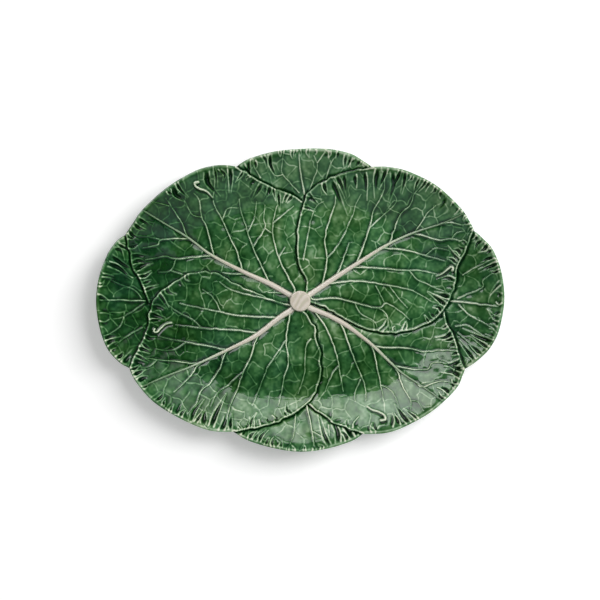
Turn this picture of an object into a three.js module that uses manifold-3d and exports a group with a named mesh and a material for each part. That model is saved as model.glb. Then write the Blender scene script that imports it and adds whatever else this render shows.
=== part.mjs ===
// Oval serving platter moulded as overlapping cabbage leaves, in glazed earthenware.
// Four large leaves meet at a cut stalk, four small leaves show between them at the rim,
// and a foot ring carries the whole. Leaves lap over one another: the two upper large leaves
// lie on the two middle ones, and all four lie on the small leaves.
// Millimetres, +Z up, +X along the length. The origin is on the table, under the stalk.
import * as THREE from "three";
import { mergeVertices } from "three/addons/utils/BufferGeometryUtils.js";
import Module from "manifold-3d";

const wasm = await Module();
wasm.setup();

// Overall form
const LENGTH = 375;
const WIDTH = 280;
const HEIGHT = 34; // table to the tips of the small leaves
const WELL_LENGTH = 244; // where the rim starts to rise
const WELL_WIDTH = 182;
const OVAL_SQUARENESS = 2.4; // 2 is an ellipse, more is squarer
const BEND_WIDTH = 14; // the curve from the well floor into the rim

// Leaf wall
const UPPER_THICKNESS = 6.6;
const MIDDLE_THICKNESS = 5.6;
const LOWER_THICKNESS = 4.8;
const LAP_THICKNESS = 2.2; // a leaf's hidden edge, where another leaf lies on it
const JOINT_GAP = 0.3;

// Foot ring
const FOOT_HEIGHT = 4.5;
const FOOT_WALL = 6;
const FOOT_INSET = 12; // from the start of the bend to the ring's outside

// Stalk and midribs
const STALK_DIAMETER = 19.4;
const STALK_HEIGHT = 3.4;
const STALK_BEVEL = 0.8;
const CORE_DIAMETER = 13; // the stalk's core, which runs down between the leaves
const RIB_BASE_WIDTH = 6.4;
const RIB_TIP_WIDTH = 1.6;
const RIB_BASE_HEIGHT = 2.9;
const RIB_TIP_HEIGHT = 1.0;
const RIB_ROOT = 1.5; // how far the rib's drawn section reaches below the leaf before it is trimmed

// Fineness of the facets
const OVAL_SEGMENTS = 96;
const OUTLINE_STEP = 6;
const RIB_RINGS = 14;
const RIB_ARC_POINTS = 6;
const ROUND_SEGMENTS = 32;

// A cutting tool reaches this far past what it cuts.
const CUT_PAST = 8;
const RIM_PAST = 0.2; // the uncut dish runs on past the rim by this share of the rim's width

const GREEN_GLAZE = { color: 0x3f6b42, roughness: 0.15, metalness: 0 };
const CREAM_GLAZE = { color: 0xd6cdc0, roughness: 0.2, metalness: 0 };
const BISCUIT = { color: 0xd9c3a0, roughness: 0.8, metalness: 0 };

const halfLength = LENGTH / 2;
const halfWidth = WIDTH / 2;
const rimRun = (LENGTH - WELL_LENGTH) / 2;
const rimRise = HEIGHT - FOOT_HEIGHT - LOWER_THICKNESS;

// Plan points are percentages of the half length and the half width, so leaves stretch with the platter.
const at = ([x, y]) => new THREE.Vector2((x / 100) * halfLength, (y / 100) * halfWidth);

// The visible edges of the leaves. Each list runs along one edge, and its two ends are corners.
const CORNER = {
  northWest: [-31.5, 89],
  northEast: [35.9, 88.4],
  eastNorth: [85.7, 46],
  eastSouth: [81, -45.6],
  southEast: [30.4, -88.4],
  southWest: [-32.5, -87],
  westSouth: [-83.8, -45.1],
  westNorth: [-86.2, 43.3],
};
const RIM = {
  north: [
    CORNER.northWest, [-25.5, 93.7], [-13, 98.3], [2, 100], [13, 99.9],
    [20, 98.6], [26.5, 96], [32, 91.7], CORNER.northEast,
  ],
  northEast: [
    CORNER.northEast, [43, 88.2], [53.5, 85], [67.3, 75.6], [79, 61], [83.5, 52], CORNER.eastNorth,
  ],
  east: [
    CORNER.eastNorth, [90, 40.5], [94.5, 33.5], [98, 22], [99.8, 9], [99.8, -5],
    [97, -22], [92.4, -33.2], [86, -41.3], CORNER.eastSouth,
  ],
  southEast: [
    CORNER.eastSouth, [79.6, -50], [76.2, -59], [65, -73], [52, -83], [42, -87.7], CORNER.southEast,
  ],
  south: [
    CORNER.southEast, [25.2, -92.9], [13, -98], [0, -100], [-13, -97.6], [-25.2, -92.7], CORNER.southWest,
  ],
  southWest: [
    CORNER.southWest, [-44.5, -86], [-58.4, -78.4], [-71.7, -67.3], [-80.5, -54], CORNER.westSouth,
  ],
  west: [
    CORNER.westSouth, [-88.5, -41.6], [-94.2, -33], [-98, -20], [-100, -3], [-99, 13],
    [-95.5, 28], [-91, 38], CORNER.westNorth,
  ],
  northWest: [
    CORNER.westNorth, [-82.3, 51.5], [-77.8, 60], [-66.2, 74.3], [-53.2, 84.8],
    [-45.5, 88.3], [-38.5, 89.6], CORNER.northWest,
  ],
};
const EDGE = {
  northEastLower: [
    [0.8, 1], [6, -1], [14, -6], [22, -12.2], [34, -19.6], [46, -21.2], [58, -18],
    [67, -12], [73, -2], [77, 9], [77.8, 21], [82, 32], CORNER.eastNorth,
  ],
  northEastSeam: [
    CORNER.northEast, [24, 86], [16, 83], [9, 78.5], [3.5, 72.4], [1.2, 64], [-1.4, 50],
    [-1.3, 40], [-1.8, 30], [0, 22], [2.6, 15], [2.4, 6], [0.8, 1],
  ],
  southWestSeam: [
    [-0.8, -1], [0.5, -5], [3.2, -8], [7.5, -17], [8.7, -26], [10.2, -33], [10, -40],
    [10.7, -46], [9, -57], [4, -68], [-7, -77.6], [-20, -84.3], CORNER.southWest,
  ],
  southWestUpper: [
    CORNER.westSouth, [-81, -34.6], [-76, -20.6], [-75, -8], [-71.4, 3.9], [-62, 14.2],
    [-55, 19.2], [-47, 20.3], [-40, 18.6], [-31.5, 11.6], [-20, 5.4], [-10.4, -0.2], [-5.9, -1.6],
    [-0.8, -1],
  ],
  northWestTop: [CORNER.northWest, [-21, 81], [-10, 74.5], [-3, 71.5], [0.6, 67.9]],
  northWestSide: [[-75.3, -0.9], [-78.6, 11.5], [-82.5, 19.5], [-84.6, 31], CORNER.westNorth],
  southEastSide: [CORNER.eastSouth, [79.2, -39.5], [76.8, -26], [72.8, -14], [71.6, -6.4]],
  southEastFoot: [[4, -68.7], [11.7, -76.8], [20, -83.3], CORNER.southEast],
};
// The hidden edges of the middle leaves, under the upper leaves.
const HIDDEN = {
  northWest: [[8, 62], [4.5, 45], [4.5, 30], [3.5, 18], [-0.6, 3], [-6, -6], [-20, -3], [-33, 3],
    [-45, 11.5], [-56, 10.5], [-66, 1], [-71, -6]],
  southEast: [[67, -3], [57, -9.5], [45, -13], [33, -11.5], [22, -4], [12, 1], [1.4, -2], [-1, -10],
    [2.5, -22], [4.5, -38], [4, -52], [-1, -62]],
};
// How far a small leaf's tip runs in under the large leaves.
const TIP = { north: [2.5, 61], east: [67, -1], south: [4, -60], west: [-68, 0] };

const MIDRIB = {
  ne: [[5.4, 5.2], [18, 16.5], [30, 26.8], [43.4, 38], [55.8, 45.6], [71.5, 51.7], [80.9, 57.1]],
  nw: [[-5, 4.2], [-14.6, 11.6], [-28, 19.8], [-44, 31], [-56, 42.9], [-66.8, 51.1], [-77.5, 59.2]],
  sw: [[-5, -6.2], [-11, -11.4], [-22.3, -23], [-37, -33], [-53.2, -43], [-66.8, -50.6], [-76.9, -57.2]],
  se: [[5.4, -4.6], [13.9, -9.2], [22.3, -15.3], [29.3, -22.1], [37, -30.6], [49.6, -46.7], [59.8, -56.6],
    [69.8, -66.9]],
};

// A smooth line through plan points, as points about OUTLINE_STEP apart.
function smoothLine(points) {
  const curve = new THREE.SplineCurve(points.map(at));
  return curve.getSpacedPoints(Math.max(2, Math.round(curve.getLength() / OUTLINE_STEP)));
}

// A closed outline made of edges that are each smooth, with corners where they meet.
function outline(...edges) {
  const points = edges.flatMap((edge) => smoothLine(edge).slice(0, -1));
  return THREE.ShapeUtils.isClockWise(points) ? points.reverse() : points;
}

// The same outline, moved outwards.
function grown(points, distance) {
  const count = points.length;
  return points.map((point, i) => {
    const before = points[(i + count - 1) % count];
    const after = points[(i + 1) % count];
    const along = after.clone().sub(before).normalize();
    return new THREE.Vector2(point.x + along.y * distance, point.y - along.x * distance);
  });
}

function superellipse(angle) {
  const c = Math.abs(Math.cos(angle)) ** OVAL_SQUARENESS;
  const s = Math.abs(Math.sin(angle)) ** OVAL_SQUARENESS;
  return (c + s) ** (-1 / OVAL_SQUARENESS);
}

// Half axes of the oval at a station: 0 is the centre, 1 the edge of the well and 2 the rim.
function halfAxes(station) {
  const well = Math.min(station, 1);
  const rim = Math.max(station - 1, 0);
  return [
    (well * WELL_LENGTH + rim * (LENGTH - WELL_LENGTH)) / 2,
    (well * WELL_WIDTH + rim * (WIDTH - WELL_WIDTH)) / 2,
  ];
}

// Height of the platter's underside at a station.
function underside(station) {
  const run = station < 1 ? ((station - 1) * WELL_LENGTH) / 2 : (station - 1) * rimRun;
  const bend = BEND_WIDTH / 2;
  const slope = rimRise / rimRun;
  if (run <= -bend) return FOOT_HEIGHT;
  if (run >= bend) return FOOT_HEIGHT + slope * run;
  return FOOT_HEIGHT + (slope * (run + bend) ** 2) / (4 * bend);
}

// The station of a plan point, found by halving.
function stationOf(x, y) {
  let low = 0;
  let high = 2 + 2 * RIM_PAST;
  for (let i = 0; i < 40; i++) {
    const middle = (low + high) / 2;
    const [a, b] = halfAxes(middle);
    const reach = Math.abs(x / a) ** OVAL_SQUARENESS + Math.abs(y / b) ** OVAL_SQUARENESS;
    if (reach > 1) low = middle;
    else high = middle;
  }
  return low;
}

const bendStart = 1 - BEND_WIDTH / WELL_LENGTH;
const bendEnd = 1 + BEND_WIDTH / 2 / rimRun;
const STATIONS = [0, bendStart, (bendStart + 1) / 2, 1, (1 + bendEnd) / 2, bendEnd, 1.5, 2 + RIM_PAST];

function solid(geometry) {
  const bare = geometry.clone();
  bare.deleteAttribute("normal");
  bare.deleteAttribute("uv");
  const merged = mergeVertices(bare, 1e-4);
  const vertProperties = new Float32Array(merged.attributes.position.array);
  const triVerts = new Uint32Array(merged.index.array);
  return new wasm.Manifold(new wasm.Mesh({ numProp: 3, vertProperties, triVerts }));
}

// A layer of the dish between two heights above the underside, wider than the finished rim.
function layer(low, high) {
  const top = STATIONS.map((s) => new THREE.Vector2(s, underside(s) + high));
  const bottom = STATIONS.map((s) => new THREE.Vector2(s, underside(s) + low));
  const geometry = new THREE.LatheGeometry([...bottom, ...top.reverse()], OVAL_SEGMENTS);
  const position = geometry.attributes.position;
  for (let i = 0; i < position.count; i++) {
    const angle = Math.atan2(position.getX(i), position.getZ(i));
    const [a, b] = halfAxes(Math.hypot(position.getX(i), position.getZ(i)));
    const stretch = superellipse(angle);
    position.setXYZ(i, a * Math.cos(angle) * stretch, b * Math.sin(angle) * stretch, position.getY(i));
  }
  return solid(geometry);
}

// A tall upright block with this outline.
function block(points) {
  const depth = HEIGHT + 2 * CUT_PAST;
  const geometry = new THREE.ExtrudeGeometry(new THREE.Shape(points), { depth, bevelEnabled: false });
  return solid(geometry.translate(0, 0, -CUT_PAST));
}

// A tall round cutter at the centre that clears a piece of this diameter.
function upright(diameter) {
  const radius = diameter / 2 + JOINT_GAP;
  return solid(new THREE.CylinderGeometry(radius, radius, HEIGHT * 2, ROUND_SEGMENTS).rotateX(Math.PI / 2));
}

const lapBelow = layer(-CUT_PAST, LAP_THICKNESS + JOINT_GAP);
const lapAbove = layer(LAP_THICKNESS, LAP_THICKNESS + CUT_PAST);

const LEAVES = {
  large_leaf_ne: {
    order: 2,
    thickness: UPPER_THICKNESS,
    points: outline(EDGE.northEastLower, [...RIM.northEast].reverse(), EDGE.northEastSeam),
  },
  large_leaf_sw: {
    order: 2,
    thickness: UPPER_THICKNESS,
    points: outline(EDGE.southWestSeam, RIM.southWest, EDGE.southWestUpper),
  },
  large_leaf_nw: {
    order: 1,
    thickness: MIDDLE_THICKNESS,
    points: outline(RIM.northWest, EDGE.northWestTop,
      [EDGE.northWestTop.at(-1), ...HIDDEN.northWest, EDGE.northWestSide[0]], EDGE.northWestSide),
  },
  large_leaf_se: {
    order: 1,
    thickness: MIDDLE_THICKNESS,
    points: outline([...RIM.southEast].reverse(), EDGE.southEastSide,
      [EDGE.southEastSide.at(-1), ...HIDDEN.southEast, EDGE.southEastFoot[0]], EDGE.southEastFoot),
  },
};
for (const [name, side, tip] of [["n", "north", TIP.north], ["e", "east", TIP.east],
  ["s", "south", TIP.south], ["w", "west", TIP.west]]) {
  const rim = RIM[side];
  LEAVES["small_leaf_" + name] = {
    order: 0,
    thickness: LOWER_THICKNESS,
    points: outline(rim, [rim.at(-1), tip], [tip, rim[0]]),
  };
}

// A leaf keeps its own outline, less the laps: its upper part goes where a higher leaf lies,
// and its lower part goes where a lower leaf's hidden edge runs in under it.
function leafSolid(leaf) {
  let made = layer(0, leaf.thickness).intersect(block(leaf.points)).subtract(upright(CORE_DIAMETER));
  for (const other of Object.values(LEAVES)) {
    if (other.order === leaf.order) continue;
    const lap = other.order > leaf.order ? lapAbove : lapBelow;
    made = made.subtract(lap.intersect(block(grown(other.points, JOINT_GAP))));
  }
  return made;
}

// A half-round rib that tapers along its line and follows the leaf.
function ribSolid(points, thickness) {
  const curve = new THREE.SplineCurve(points.map(at));
  const middle = [];
  const ring = RIB_ARC_POINTS + 1;
  for (let i = 0; i <= RIB_RINGS; i++) {
    const share = i / RIB_RINGS;
    const centre = curve.getPointAt(share);
    const along = curve.getTangentAt(share);
    const half = THREE.MathUtils.lerp(RIB_BASE_WIDTH, RIB_TIP_WIDTH, share) / 2;
    const height = THREE.MathUtils.lerp(RIB_BASE_HEIGHT, RIB_TIP_HEIGHT, share);
    const seat = underside(stationOf(centre.x, centre.y)) + thickness + JOINT_GAP;
    for (let j = 0; j < ring; j++) {
      const turn = (Math.PI * j) / RIB_ARC_POINTS;
      const side = Math.cos(turn) * half;
      const edge = j === 0 || j === RIB_ARC_POINTS;
      const z = edge ? seat - RIB_ROOT : seat + Math.sin(turn) * height;
      middle.push(centre.x + along.y * side, centre.y - along.x * side, z);
    }
  }
  const faces = [];
  for (let i = 0; i < RIB_RINGS; i++) {
    for (let j = 0; j < ring; j++) {
      const a = i * ring + j;
      const b = i * ring + ((j + 1) % ring);
      faces.push(a, a + ring, b, b, a + ring, b + ring);
    }
  }
  for (let j = 1; j < ring - 1; j++) {
    const end = RIB_RINGS * ring;
    faces.push(0, j, j + 1, end, end + j + 1, end + j);
  }
  const geometry = new THREE.BufferGeometry();
  geometry.setAttribute("position", new THREE.BufferAttribute(new Float32Array(middle), 3));
  geometry.setIndex(faces);
  return solid(geometry);
}

function stalkSolid() {
  const radius = STALK_DIAMETER / 2;
  const core = CORE_DIAMETER / 2;
  const profile = [
    [0, -UPPER_THICKNESS], [core, -UPPER_THICKNESS], [core, 0], [radius, 0],
    [radius, STALK_HEIGHT - STALK_BEVEL], [radius - STALK_BEVEL, STALK_HEIGHT], [0, STALK_HEIGHT],
  ].map(([r, z]) => new THREE.Vector2(r, z));
  const geometry = new THREE.LatheGeometry(profile, ROUND_SEGMENTS).rotateX(Math.PI / 2);
  return solid(geometry.translate(0, 0, FOOT_HEIGHT + UPPER_THICKNESS));
}

function footSolid() {
  const ovalLine = (inset) => {
    const a = (WELL_LENGTH - BEND_WIDTH) / 2 - inset;
    const b = (WELL_WIDTH - BEND_WIDTH) / 2 - inset;
    return Array.from({ length: OVAL_SEGMENTS }, (_, i) => {
      const angle = (2 * Math.PI * i) / OVAL_SEGMENTS;
      const stretch = superellipse(angle);
      return new THREE.Vector2(a * Math.cos(angle) * stretch, b * Math.sin(angle) * stretch);
    });
  };
  const ring = new THREE.Shape(ovalLine(FOOT_INSET));
  ring.holes.push(new THREE.Path(ovalLine(FOOT_INSET + FOOT_WALL)));
  return solid(new THREE.ExtrudeGeometry(ring, { depth: FOOT_HEIGHT, bevelEnabled: false }));
}

const platter = new THREE.Group();

function add(name, made, material) {
  const { vertProperties, triVerts, numProp } = made.getMesh();
  const geometry = new THREE.BufferGeometry();
  const interleaved = new THREE.InterleavedBuffer(vertProperties, numProp);
  geometry.setAttribute("position", new THREE.InterleavedBufferAttribute(interleaved, 3, 0));
  geometry.setIndex(new THREE.BufferAttribute(triVerts, 1));
  geometry.computeVertexNormals();
  const mesh = new THREE.Mesh(geometry, new THREE.MeshStandardMaterial(material));
  mesh.name = name;
  platter.add(mesh);
}

for (const [name, leaf] of Object.entries(LEAVES)) add(name, leafSolid(leaf), GREEN_GLAZE);

for (const [side, points] of Object.entries(MIDRIB)) {
  const leaf = LEAVES["large_leaf_" + side];
  let rib = ribSolid(points, leaf.thickness)
    .subtract(layer(-CUT_PAST, leaf.thickness + JOINT_GAP))
    .subtract(upright(STALK_DIAMETER));
  for (const other of Object.values(LEAVES)) {
    if (other.order > leaf.order) rib = rib.subtract(block(grown(other.points, JOINT_GAP)));
  }
  add("midrib_" + side, rib, CREAM_GLAZE);
}
add("stalk_disc", stalkSolid(), CREAM_GLAZE);
add("foot_ring", footSolid(), BISCUIT);

export default platter;
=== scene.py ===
# %% [markdown]
# # A cabbage leaf platter
# The real platter is slip-cast earthenware: clay that was poured into a plaster mould, fired, dipped in
# green glaze and fired again. Its looks come from two things together. The mould gives a fine relief of
# ribs, veins, puckers and frilled edges, and the glaze runs off every crest and gathers in every hollow,
# so crests are pale and hollows dark. This lesson draws the relief as a map of heights, lifts a grid of
# points to that map for each leaf, and lets the same map decide how thick the glaze lies.

# %% Load the construction
import math

import bpy
import numpy as np
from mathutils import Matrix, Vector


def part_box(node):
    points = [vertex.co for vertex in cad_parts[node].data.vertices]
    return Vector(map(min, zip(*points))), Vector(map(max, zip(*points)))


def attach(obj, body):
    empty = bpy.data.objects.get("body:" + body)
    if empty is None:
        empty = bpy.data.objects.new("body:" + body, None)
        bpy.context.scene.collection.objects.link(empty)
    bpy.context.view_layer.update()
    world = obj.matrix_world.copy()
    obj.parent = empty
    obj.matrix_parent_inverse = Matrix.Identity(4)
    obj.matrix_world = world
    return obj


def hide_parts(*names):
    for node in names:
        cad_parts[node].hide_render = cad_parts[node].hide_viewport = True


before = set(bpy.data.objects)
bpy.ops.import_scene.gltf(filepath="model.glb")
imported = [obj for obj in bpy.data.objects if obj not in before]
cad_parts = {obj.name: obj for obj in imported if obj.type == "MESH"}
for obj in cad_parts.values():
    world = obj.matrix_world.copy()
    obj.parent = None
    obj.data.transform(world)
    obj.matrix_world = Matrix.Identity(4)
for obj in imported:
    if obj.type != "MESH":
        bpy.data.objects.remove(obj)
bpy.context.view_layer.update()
MM = 0.001

# %% [markdown]
# ## The dish
# Under all the leaves lies one plain form: a flat well with a squarish oval edge, a short bend, and a rim
# that rises straight outwards. It is the construction's own form, with the same driving sizes, in
# millimetres. A place on it is told by its station: 0 in the middle, 1 at the edge of the well and 2 at
# the rim.

# %% The dish's sizes and its underside
LENGTH, WIDTH, HEIGHT = 375, 280, 34
WELL_LENGTH, WELL_WIDTH = 244, 182
SQUARENESS = 2.4
BEND_WIDTH = 14
FOOT_HEIGHT = 4.5
LEAF_THICKNESS = {"upper": 6.6, "middle": 5.6, "lower": 4.8}
RIM_RUN = (LENGTH - WELL_LENGTH) / 2
RIM_SLOPE = (HEIGHT - FOOT_HEIGHT - LEAF_THICKNESS["lower"]) / RIM_RUN

STEP = 0.5  # from one point of the map to the next
REACH_X, REACH_Y = 192, 145
SLIVER = 1e-9  # added to a divisor that could be zero
xs = np.arange(-REACH_X, REACH_X + STEP, STEP)
ys = np.arange(-REACH_Y, REACH_Y + STEP, STEP)
map_x, map_y = np.meshgrid(xs, ys)
FAR_STATION = 2.4  # the search ends here, outside the rim
HALVINGS = 20


def station_of(x, y):
    """The station of each point, found by halving."""
    low, high = np.zeros_like(x), np.full_like(x, FAR_STATION)
    for _ in range(HALVINGS):
        middle = (low + high) / 2
        well, rim = np.minimum(middle, 1), np.maximum(middle - 1, 0)
        a = (well * WELL_LENGTH + rim * (LENGTH - WELL_LENGTH)) / 2 + SLIVER
        b = (well * WELL_WIDTH + rim * (WIDTH - WELL_WIDTH)) / 2 + SLIVER
        beyond = np.abs(x / a) ** SQUARENESS + np.abs(y / b) ** SQUARENESS > 1
        low, high = np.where(beyond, middle, low), np.where(beyond, high, middle)
    return low


def underside_of(station):
    """The height of the dish's underside at each station."""
    run = np.where(station < 1, (station - 1) * WELL_LENGTH / 2, (station - 1) * RIM_RUN)
    bend = BEND_WIDTH / 2
    curved = RIM_SLOPE * np.clip(run + bend, 0, None) ** 2 / (4 * bend)
    return FOOT_HEIGHT + np.where(run < bend, curved, RIM_SLOPE * run)


station = station_of(map_x, map_y)
underside = underside_of(station)
print("map of", map_x.shape[1], "by", map_x.shape[0], "points, underside from",
      round(underside.min(), 1), "to", round(underside[station < 2].max(), 1), "mm")

# %% [markdown]
# ## The leaves' outlines
# Each visible edge of a leaf is a smooth line through a few points, given as percentages of the half
# length and the half width, as in the construction. Two upper leaves lie on two middle ones, and all four
# lie on the small leaves. A cast edge is never quite smooth, so each line is also rippled by about half a
# millimetre.

# %% Points of the edges
CORNER = {
    "north_west": (-31.5, 89), "north_east": (35.9, 88.4),
    "east_north": (85.7, 46), "east_south": (81, -45.6),
    "south_east": (30.4, -88.4), "south_west": (-32.5, -87),
    "west_south": (-83.8, -45.1), "west_north": (-86.2, 43.3),
}
RIM = {
    "n": [CORNER["north_west"], (-25.5, 93.7), (-13, 98.3), (2, 100), (13, 99.9), (20, 98.6), (26.5, 96),
          (32, 91.7), CORNER["north_east"]],
    "ne": [CORNER["north_east"], (43, 88.2), (53.5, 85), (67.3, 75.6), (79, 61), (83.5, 52),
           CORNER["east_north"]],
    "e": [CORNER["east_north"], (90, 40.5), (94.5, 33.5), (98, 22), (99.8, 9), (99.8, -5), (97, -22),
          (92.4, -33.2), (86, -41.3), CORNER["east_south"]],
    "se": [CORNER["east_south"], (79.6, -50), (76.2, -59), (65, -73), (52, -83), (42, -87.7),
           CORNER["south_east"]],
    "s": [CORNER["south_east"], (25.2, -92.9), (13, -98), (0, -100), (-13, -97.6), (-25.2, -92.7),
          CORNER["south_west"]],
    "sw": [CORNER["south_west"], (-44.5, -86), (-58.4, -78.4), (-71.7, -67.3), (-80.5, -54),
           CORNER["west_south"]],
    "w": [CORNER["west_south"], (-88.5, -41.6), (-94.2, -33), (-98, -20), (-100, -3), (-99, 13), (-95.5, 28),
          (-91, 38), CORNER["west_north"]],
    "nw": [CORNER["west_north"], (-82.3, 51.5), (-77.8, 60), (-66.2, 74.3), (-53.2, 84.8), (-45.5, 88.3),
           (-38.5, 89.6), CORNER["north_west"]],
}
EDGE = {
    "ne_lower": [(0.8, 1), (6, -1), (14, -6), (22, -12.2), (34, -19.6), (46, -21.2), (58, -18), (67, -12),
                 (73, -2), (77, 9), (77.8, 21), (82, 32), CORNER["east_north"]],
    "ne_seam": [CORNER["north_east"], (24, 86), (16, 83), (9, 78.5), (3.5, 72.4), (1.2, 64), (-1.4, 50),
                (-1.3, 40), (-1.8, 30), (0, 22), (2.6, 15), (2.4, 6), (0.8, 1)],
    "sw_seam": [(-0.8, -1), (0.5, -5), (3.2, -8), (7.5, -17), (8.7, -26), (10.2, -33), (10, -40), (10.7, -46),
                (9, -57), (4, -68), (-7, -77.6), (-20, -84.3), CORNER["south_west"]],
    "sw_upper": [CORNER["west_south"], (-81, -34.6), (-76, -20.6), (-75, -8), (-71.4, 3.9), (-62, 14.2),
                 (-55, 19.2), (-47, 20.3), (-40, 18.6), (-31.5, 11.6), (-20, 5.4), (-10.4, -0.2),
                 (-5.9, -1.6), (-0.8, -1)],
    "nw_top": [CORNER["north_west"], (-21, 81), (-10, 74.5), (-3, 71.5), (0.6, 67.9)],
    "nw_side": [(-75.3, -0.9), (-78.6, 11.5), (-82.5, 19.5), (-84.6, 31), CORNER["west_north"]],
    "se_side": [CORNER["east_south"], (79.2, -39.5), (76.8, -26), (72.8, -14), (71.6, -6.4)],
    "se_foot": [(4, -68.7), (11.7, -76.8), (20, -83.3), CORNER["south_east"]],
}
# Where a lower leaf runs on unseen under the leaves above it.
HIDDEN = {
    "nw": [(0.6, 67.9), (8, 62), (4.5, 45), (4.5, 30), (3.5, 18), (-0.6, 3), (-6, -6), (-20, -3), (-33, 3),
           (-45, 11.5), (-56, 10.5), (-66, 1), (-71, -6), (-75.3, -0.9)],
    "se": [(71.6, -6.4), (67, -3), (57, -9.5), (45, -13), (33, -11.5), (22, -4), (12, 1), (1.4, -2),
           (-1, -10), (2.5, -22), (4.5, -38), (4, -52), (-1, -62), (4, -68.7)],
    "n": [CORNER["north_east"], (32, 84.5), (2.5, 61), (-27.5, 83), CORNER["north_west"]],
    "e": [CORNER["east_south"], (77, -40), (67, -1), (80.5, 40), CORNER["east_north"]],
    "s": [CORNER["south_west"], (-28, -82), (4, -60), (26.5, -83), CORNER["south_east"]],
    "w": [CORNER["west_north"], (-82.5, 38), (-68, 0), (-79.5, -40), CORNER["west_south"]],
}
MIDRIB = {
    "ne": [(5.4, 5.2), (18, 16.5), (30, 26.8), (43.4, 38), (55.8, 45.6), (71.5, 51.7), (80.9, 57.1)],
    "nw": [(-5, 4.2), (-14.6, 11.6), (-28, 19.8), (-44, 31), (-56, 42.9), (-66.8, 51.1), (-77.5, 59.2)],
    "sw": [(-5, -6.2), (-11, -11.4), (-22.3, -23), (-37, -33), (-53.2, -43), (-66.8, -50.6), (-76.9, -57.2)],
    "se": [(5.4, -4.6), (13.9, -9.2), (22.3, -15.3), (29.3, -22.1), (37, -30.6), (49.6, -46.7), (59.8, -56.6),
           (69.8, -66.9)],
}

# %% Smooth lines through the points
EDGE_RIPPLE = 0.7
EDGE_SEED = 30
VEIN_RIPPLE = 0.3
RIPPLE_LENGTH = 9
KNOTS_PER_RIPPLE = 2
KNOT_SPREAD = 0.7  # how far the knots of a ripple stray, in ripple sizes


def smooth(points, spacing=2.0):
    """A smooth curve through points in millimetres, as points about one spacing apart."""
    p = np.array(points, float)
    padded = np.vstack([p[0], p, p[-1]])
    made = []
    for before, start, end, after in zip(padded, padded[1:], padded[2:], padded[3:]):
        count = max(1, round(float(np.hypot(*(end - start))) / spacing))
        for t in np.arange(count) / count:
            m0, m1 = (end - before) / 2, (after - start) / 2
            t2, t3 = t * t, t * t * t
            made.append((2 * t3 - 3 * t2 + 1) * start + (t3 - 2 * t2 + t) * m0
                        + (3 * t2 - 2 * t3) * end + (t3 - t2) * m1)
    return np.array(made + [p[-1]])


def on_platter(points):
    """Percentages of the half length and half width, as millimetres from the middle."""
    return [(x / 100 * LENGTH / 2, y / 100 * WIDTH / 2) for x, y in points]


def lengths(line):
    """Distance along a line of each of its points."""
    return np.concatenate([[0], np.cumsum(np.hypot(*np.diff(line, axis=0).T))])


def normals(line):
    """The direction to the left of the line at each point."""
    along = np.gradient(line, axis=0)
    along /= np.hypot(along[:, 0], along[:, 1])[:, None] + SLIVER
    return np.stack([-along[:, 1], along[:, 0]], axis=1)


def eased(t):
    """A share from 0 to 1 that starts and ends gently."""
    return t * t * (3 - 2 * t)


def rippled(line, seed, size):
    """The line with small waves of about this size, which fade out at its two ends."""
    draw = np.random.default_rng(seed)
    far = lengths(line)
    place = far / RIPPLE_LENGTH * KNOTS_PER_RIPPLE
    knots = draw.normal(0, size * KNOT_SPREAD, int(place[-1]) + 2)
    i = place.astype(int)
    t = eased(place - i)
    waves = knots[i] * (1 - t) + knots[i + 1] * t
    fade = np.clip(np.minimum(far, far[-1] - far) / RIPPLE_LENGTH, 0, 1)
    return line + normals(line) * (waves * fade)[:, None]


rim_lines = {side: smooth(on_platter(p)) for side, p in RIM.items()}
edge_lines = {}
for number, (name, points) in enumerate(EDGE.items()):
    edge_lines[name] = rippled(smooth(on_platter(points)), EDGE_SEED + number, EDGE_RIPPLE)
hidden_lines = {side: smooth(on_platter(p)) for side, p in HIDDEN.items()}
rib_lines = {side: smooth(on_platter(p)) for side, p in MIDRIB.items()}
print(len(rim_lines), "rim lines,", len(edge_lines), "free edges and", len(rib_lines), "midribs")

# %% [markdown]
# ## Drawing on the map
# Every mark of the relief is a stroke: a line with a width and a height that change from its start to its
# end. A stroke raises the map where it is lower than the stroke's rounded top, so strokes that cross don't
# pile up. Each piece of a stroke only touches the small window of the map around it, which keeps this
# quick.

# %% Windows and strokes
STROKE_REACH = 1.3  # how far out a stroke is drawn, in widths
PINCH_PEAK = 0.25  # how far along a fold it is widest
PINCH_BLUNT = 0.45  # the share of its width that a fold keeps at its ends
PINCH_FULLNESS = 0.7  # less than 1 makes it fuller towards its ends


def map_place(x, y):
    """Where a point lies on the map, in columns and rows."""
    return (x + REACH_X) / STEP, (y + REACH_Y) / STEP


def window(points, reach):
    """The rows and columns of the map within a reach of some points."""
    left, bottom = map_place(*(points.min(0) - reach))
    right, top = map_place(*(points.max(0) + reach))
    columns = slice(max(0, int(left)), max(0, int(right) + 2))
    rows = slice(max(0, int(bottom)), max(0, int(top) + 2))
    return rows, columns


def along(line, reach):
    """Each piece of a line: its window, the distance to it, and how far along the line each point lies."""
    far = lengths(line)
    for i in range(len(line) - 1):
        start, run = line[i], line[i + 1] - line[i]
        where = window(line[i:i + 2], reach)
        x, y = map_x[where] - start[0], map_y[where] - start[1]
        t = np.clip((x * run[0] + y * run[1]) / (run @ run + SLIVER), 0, 1)
        share = (far[i] + t * (far[i + 1] - far[i])) / far[-1]
        yield where, np.hypot(x - t * run[0], y - t * run[1]), share


def bump(distance, width):
    """A rounded ridge of height 1, by the distance from its top."""
    return np.exp(-(distance / width) ** 2)


def stroke(field, line, width, height):
    """Raises a field to a rounded ridge. Width and height are each (at the start, at the end)."""
    for where, distance, share in along(line, STROKE_REACH * max(width)):
        w = width[0] + (width[1] - width[0]) * share
        h = height[0] + (height[1] - height[0]) * share
        field[where] = np.maximum(field[where], h * bump(2 * distance, w))


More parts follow.
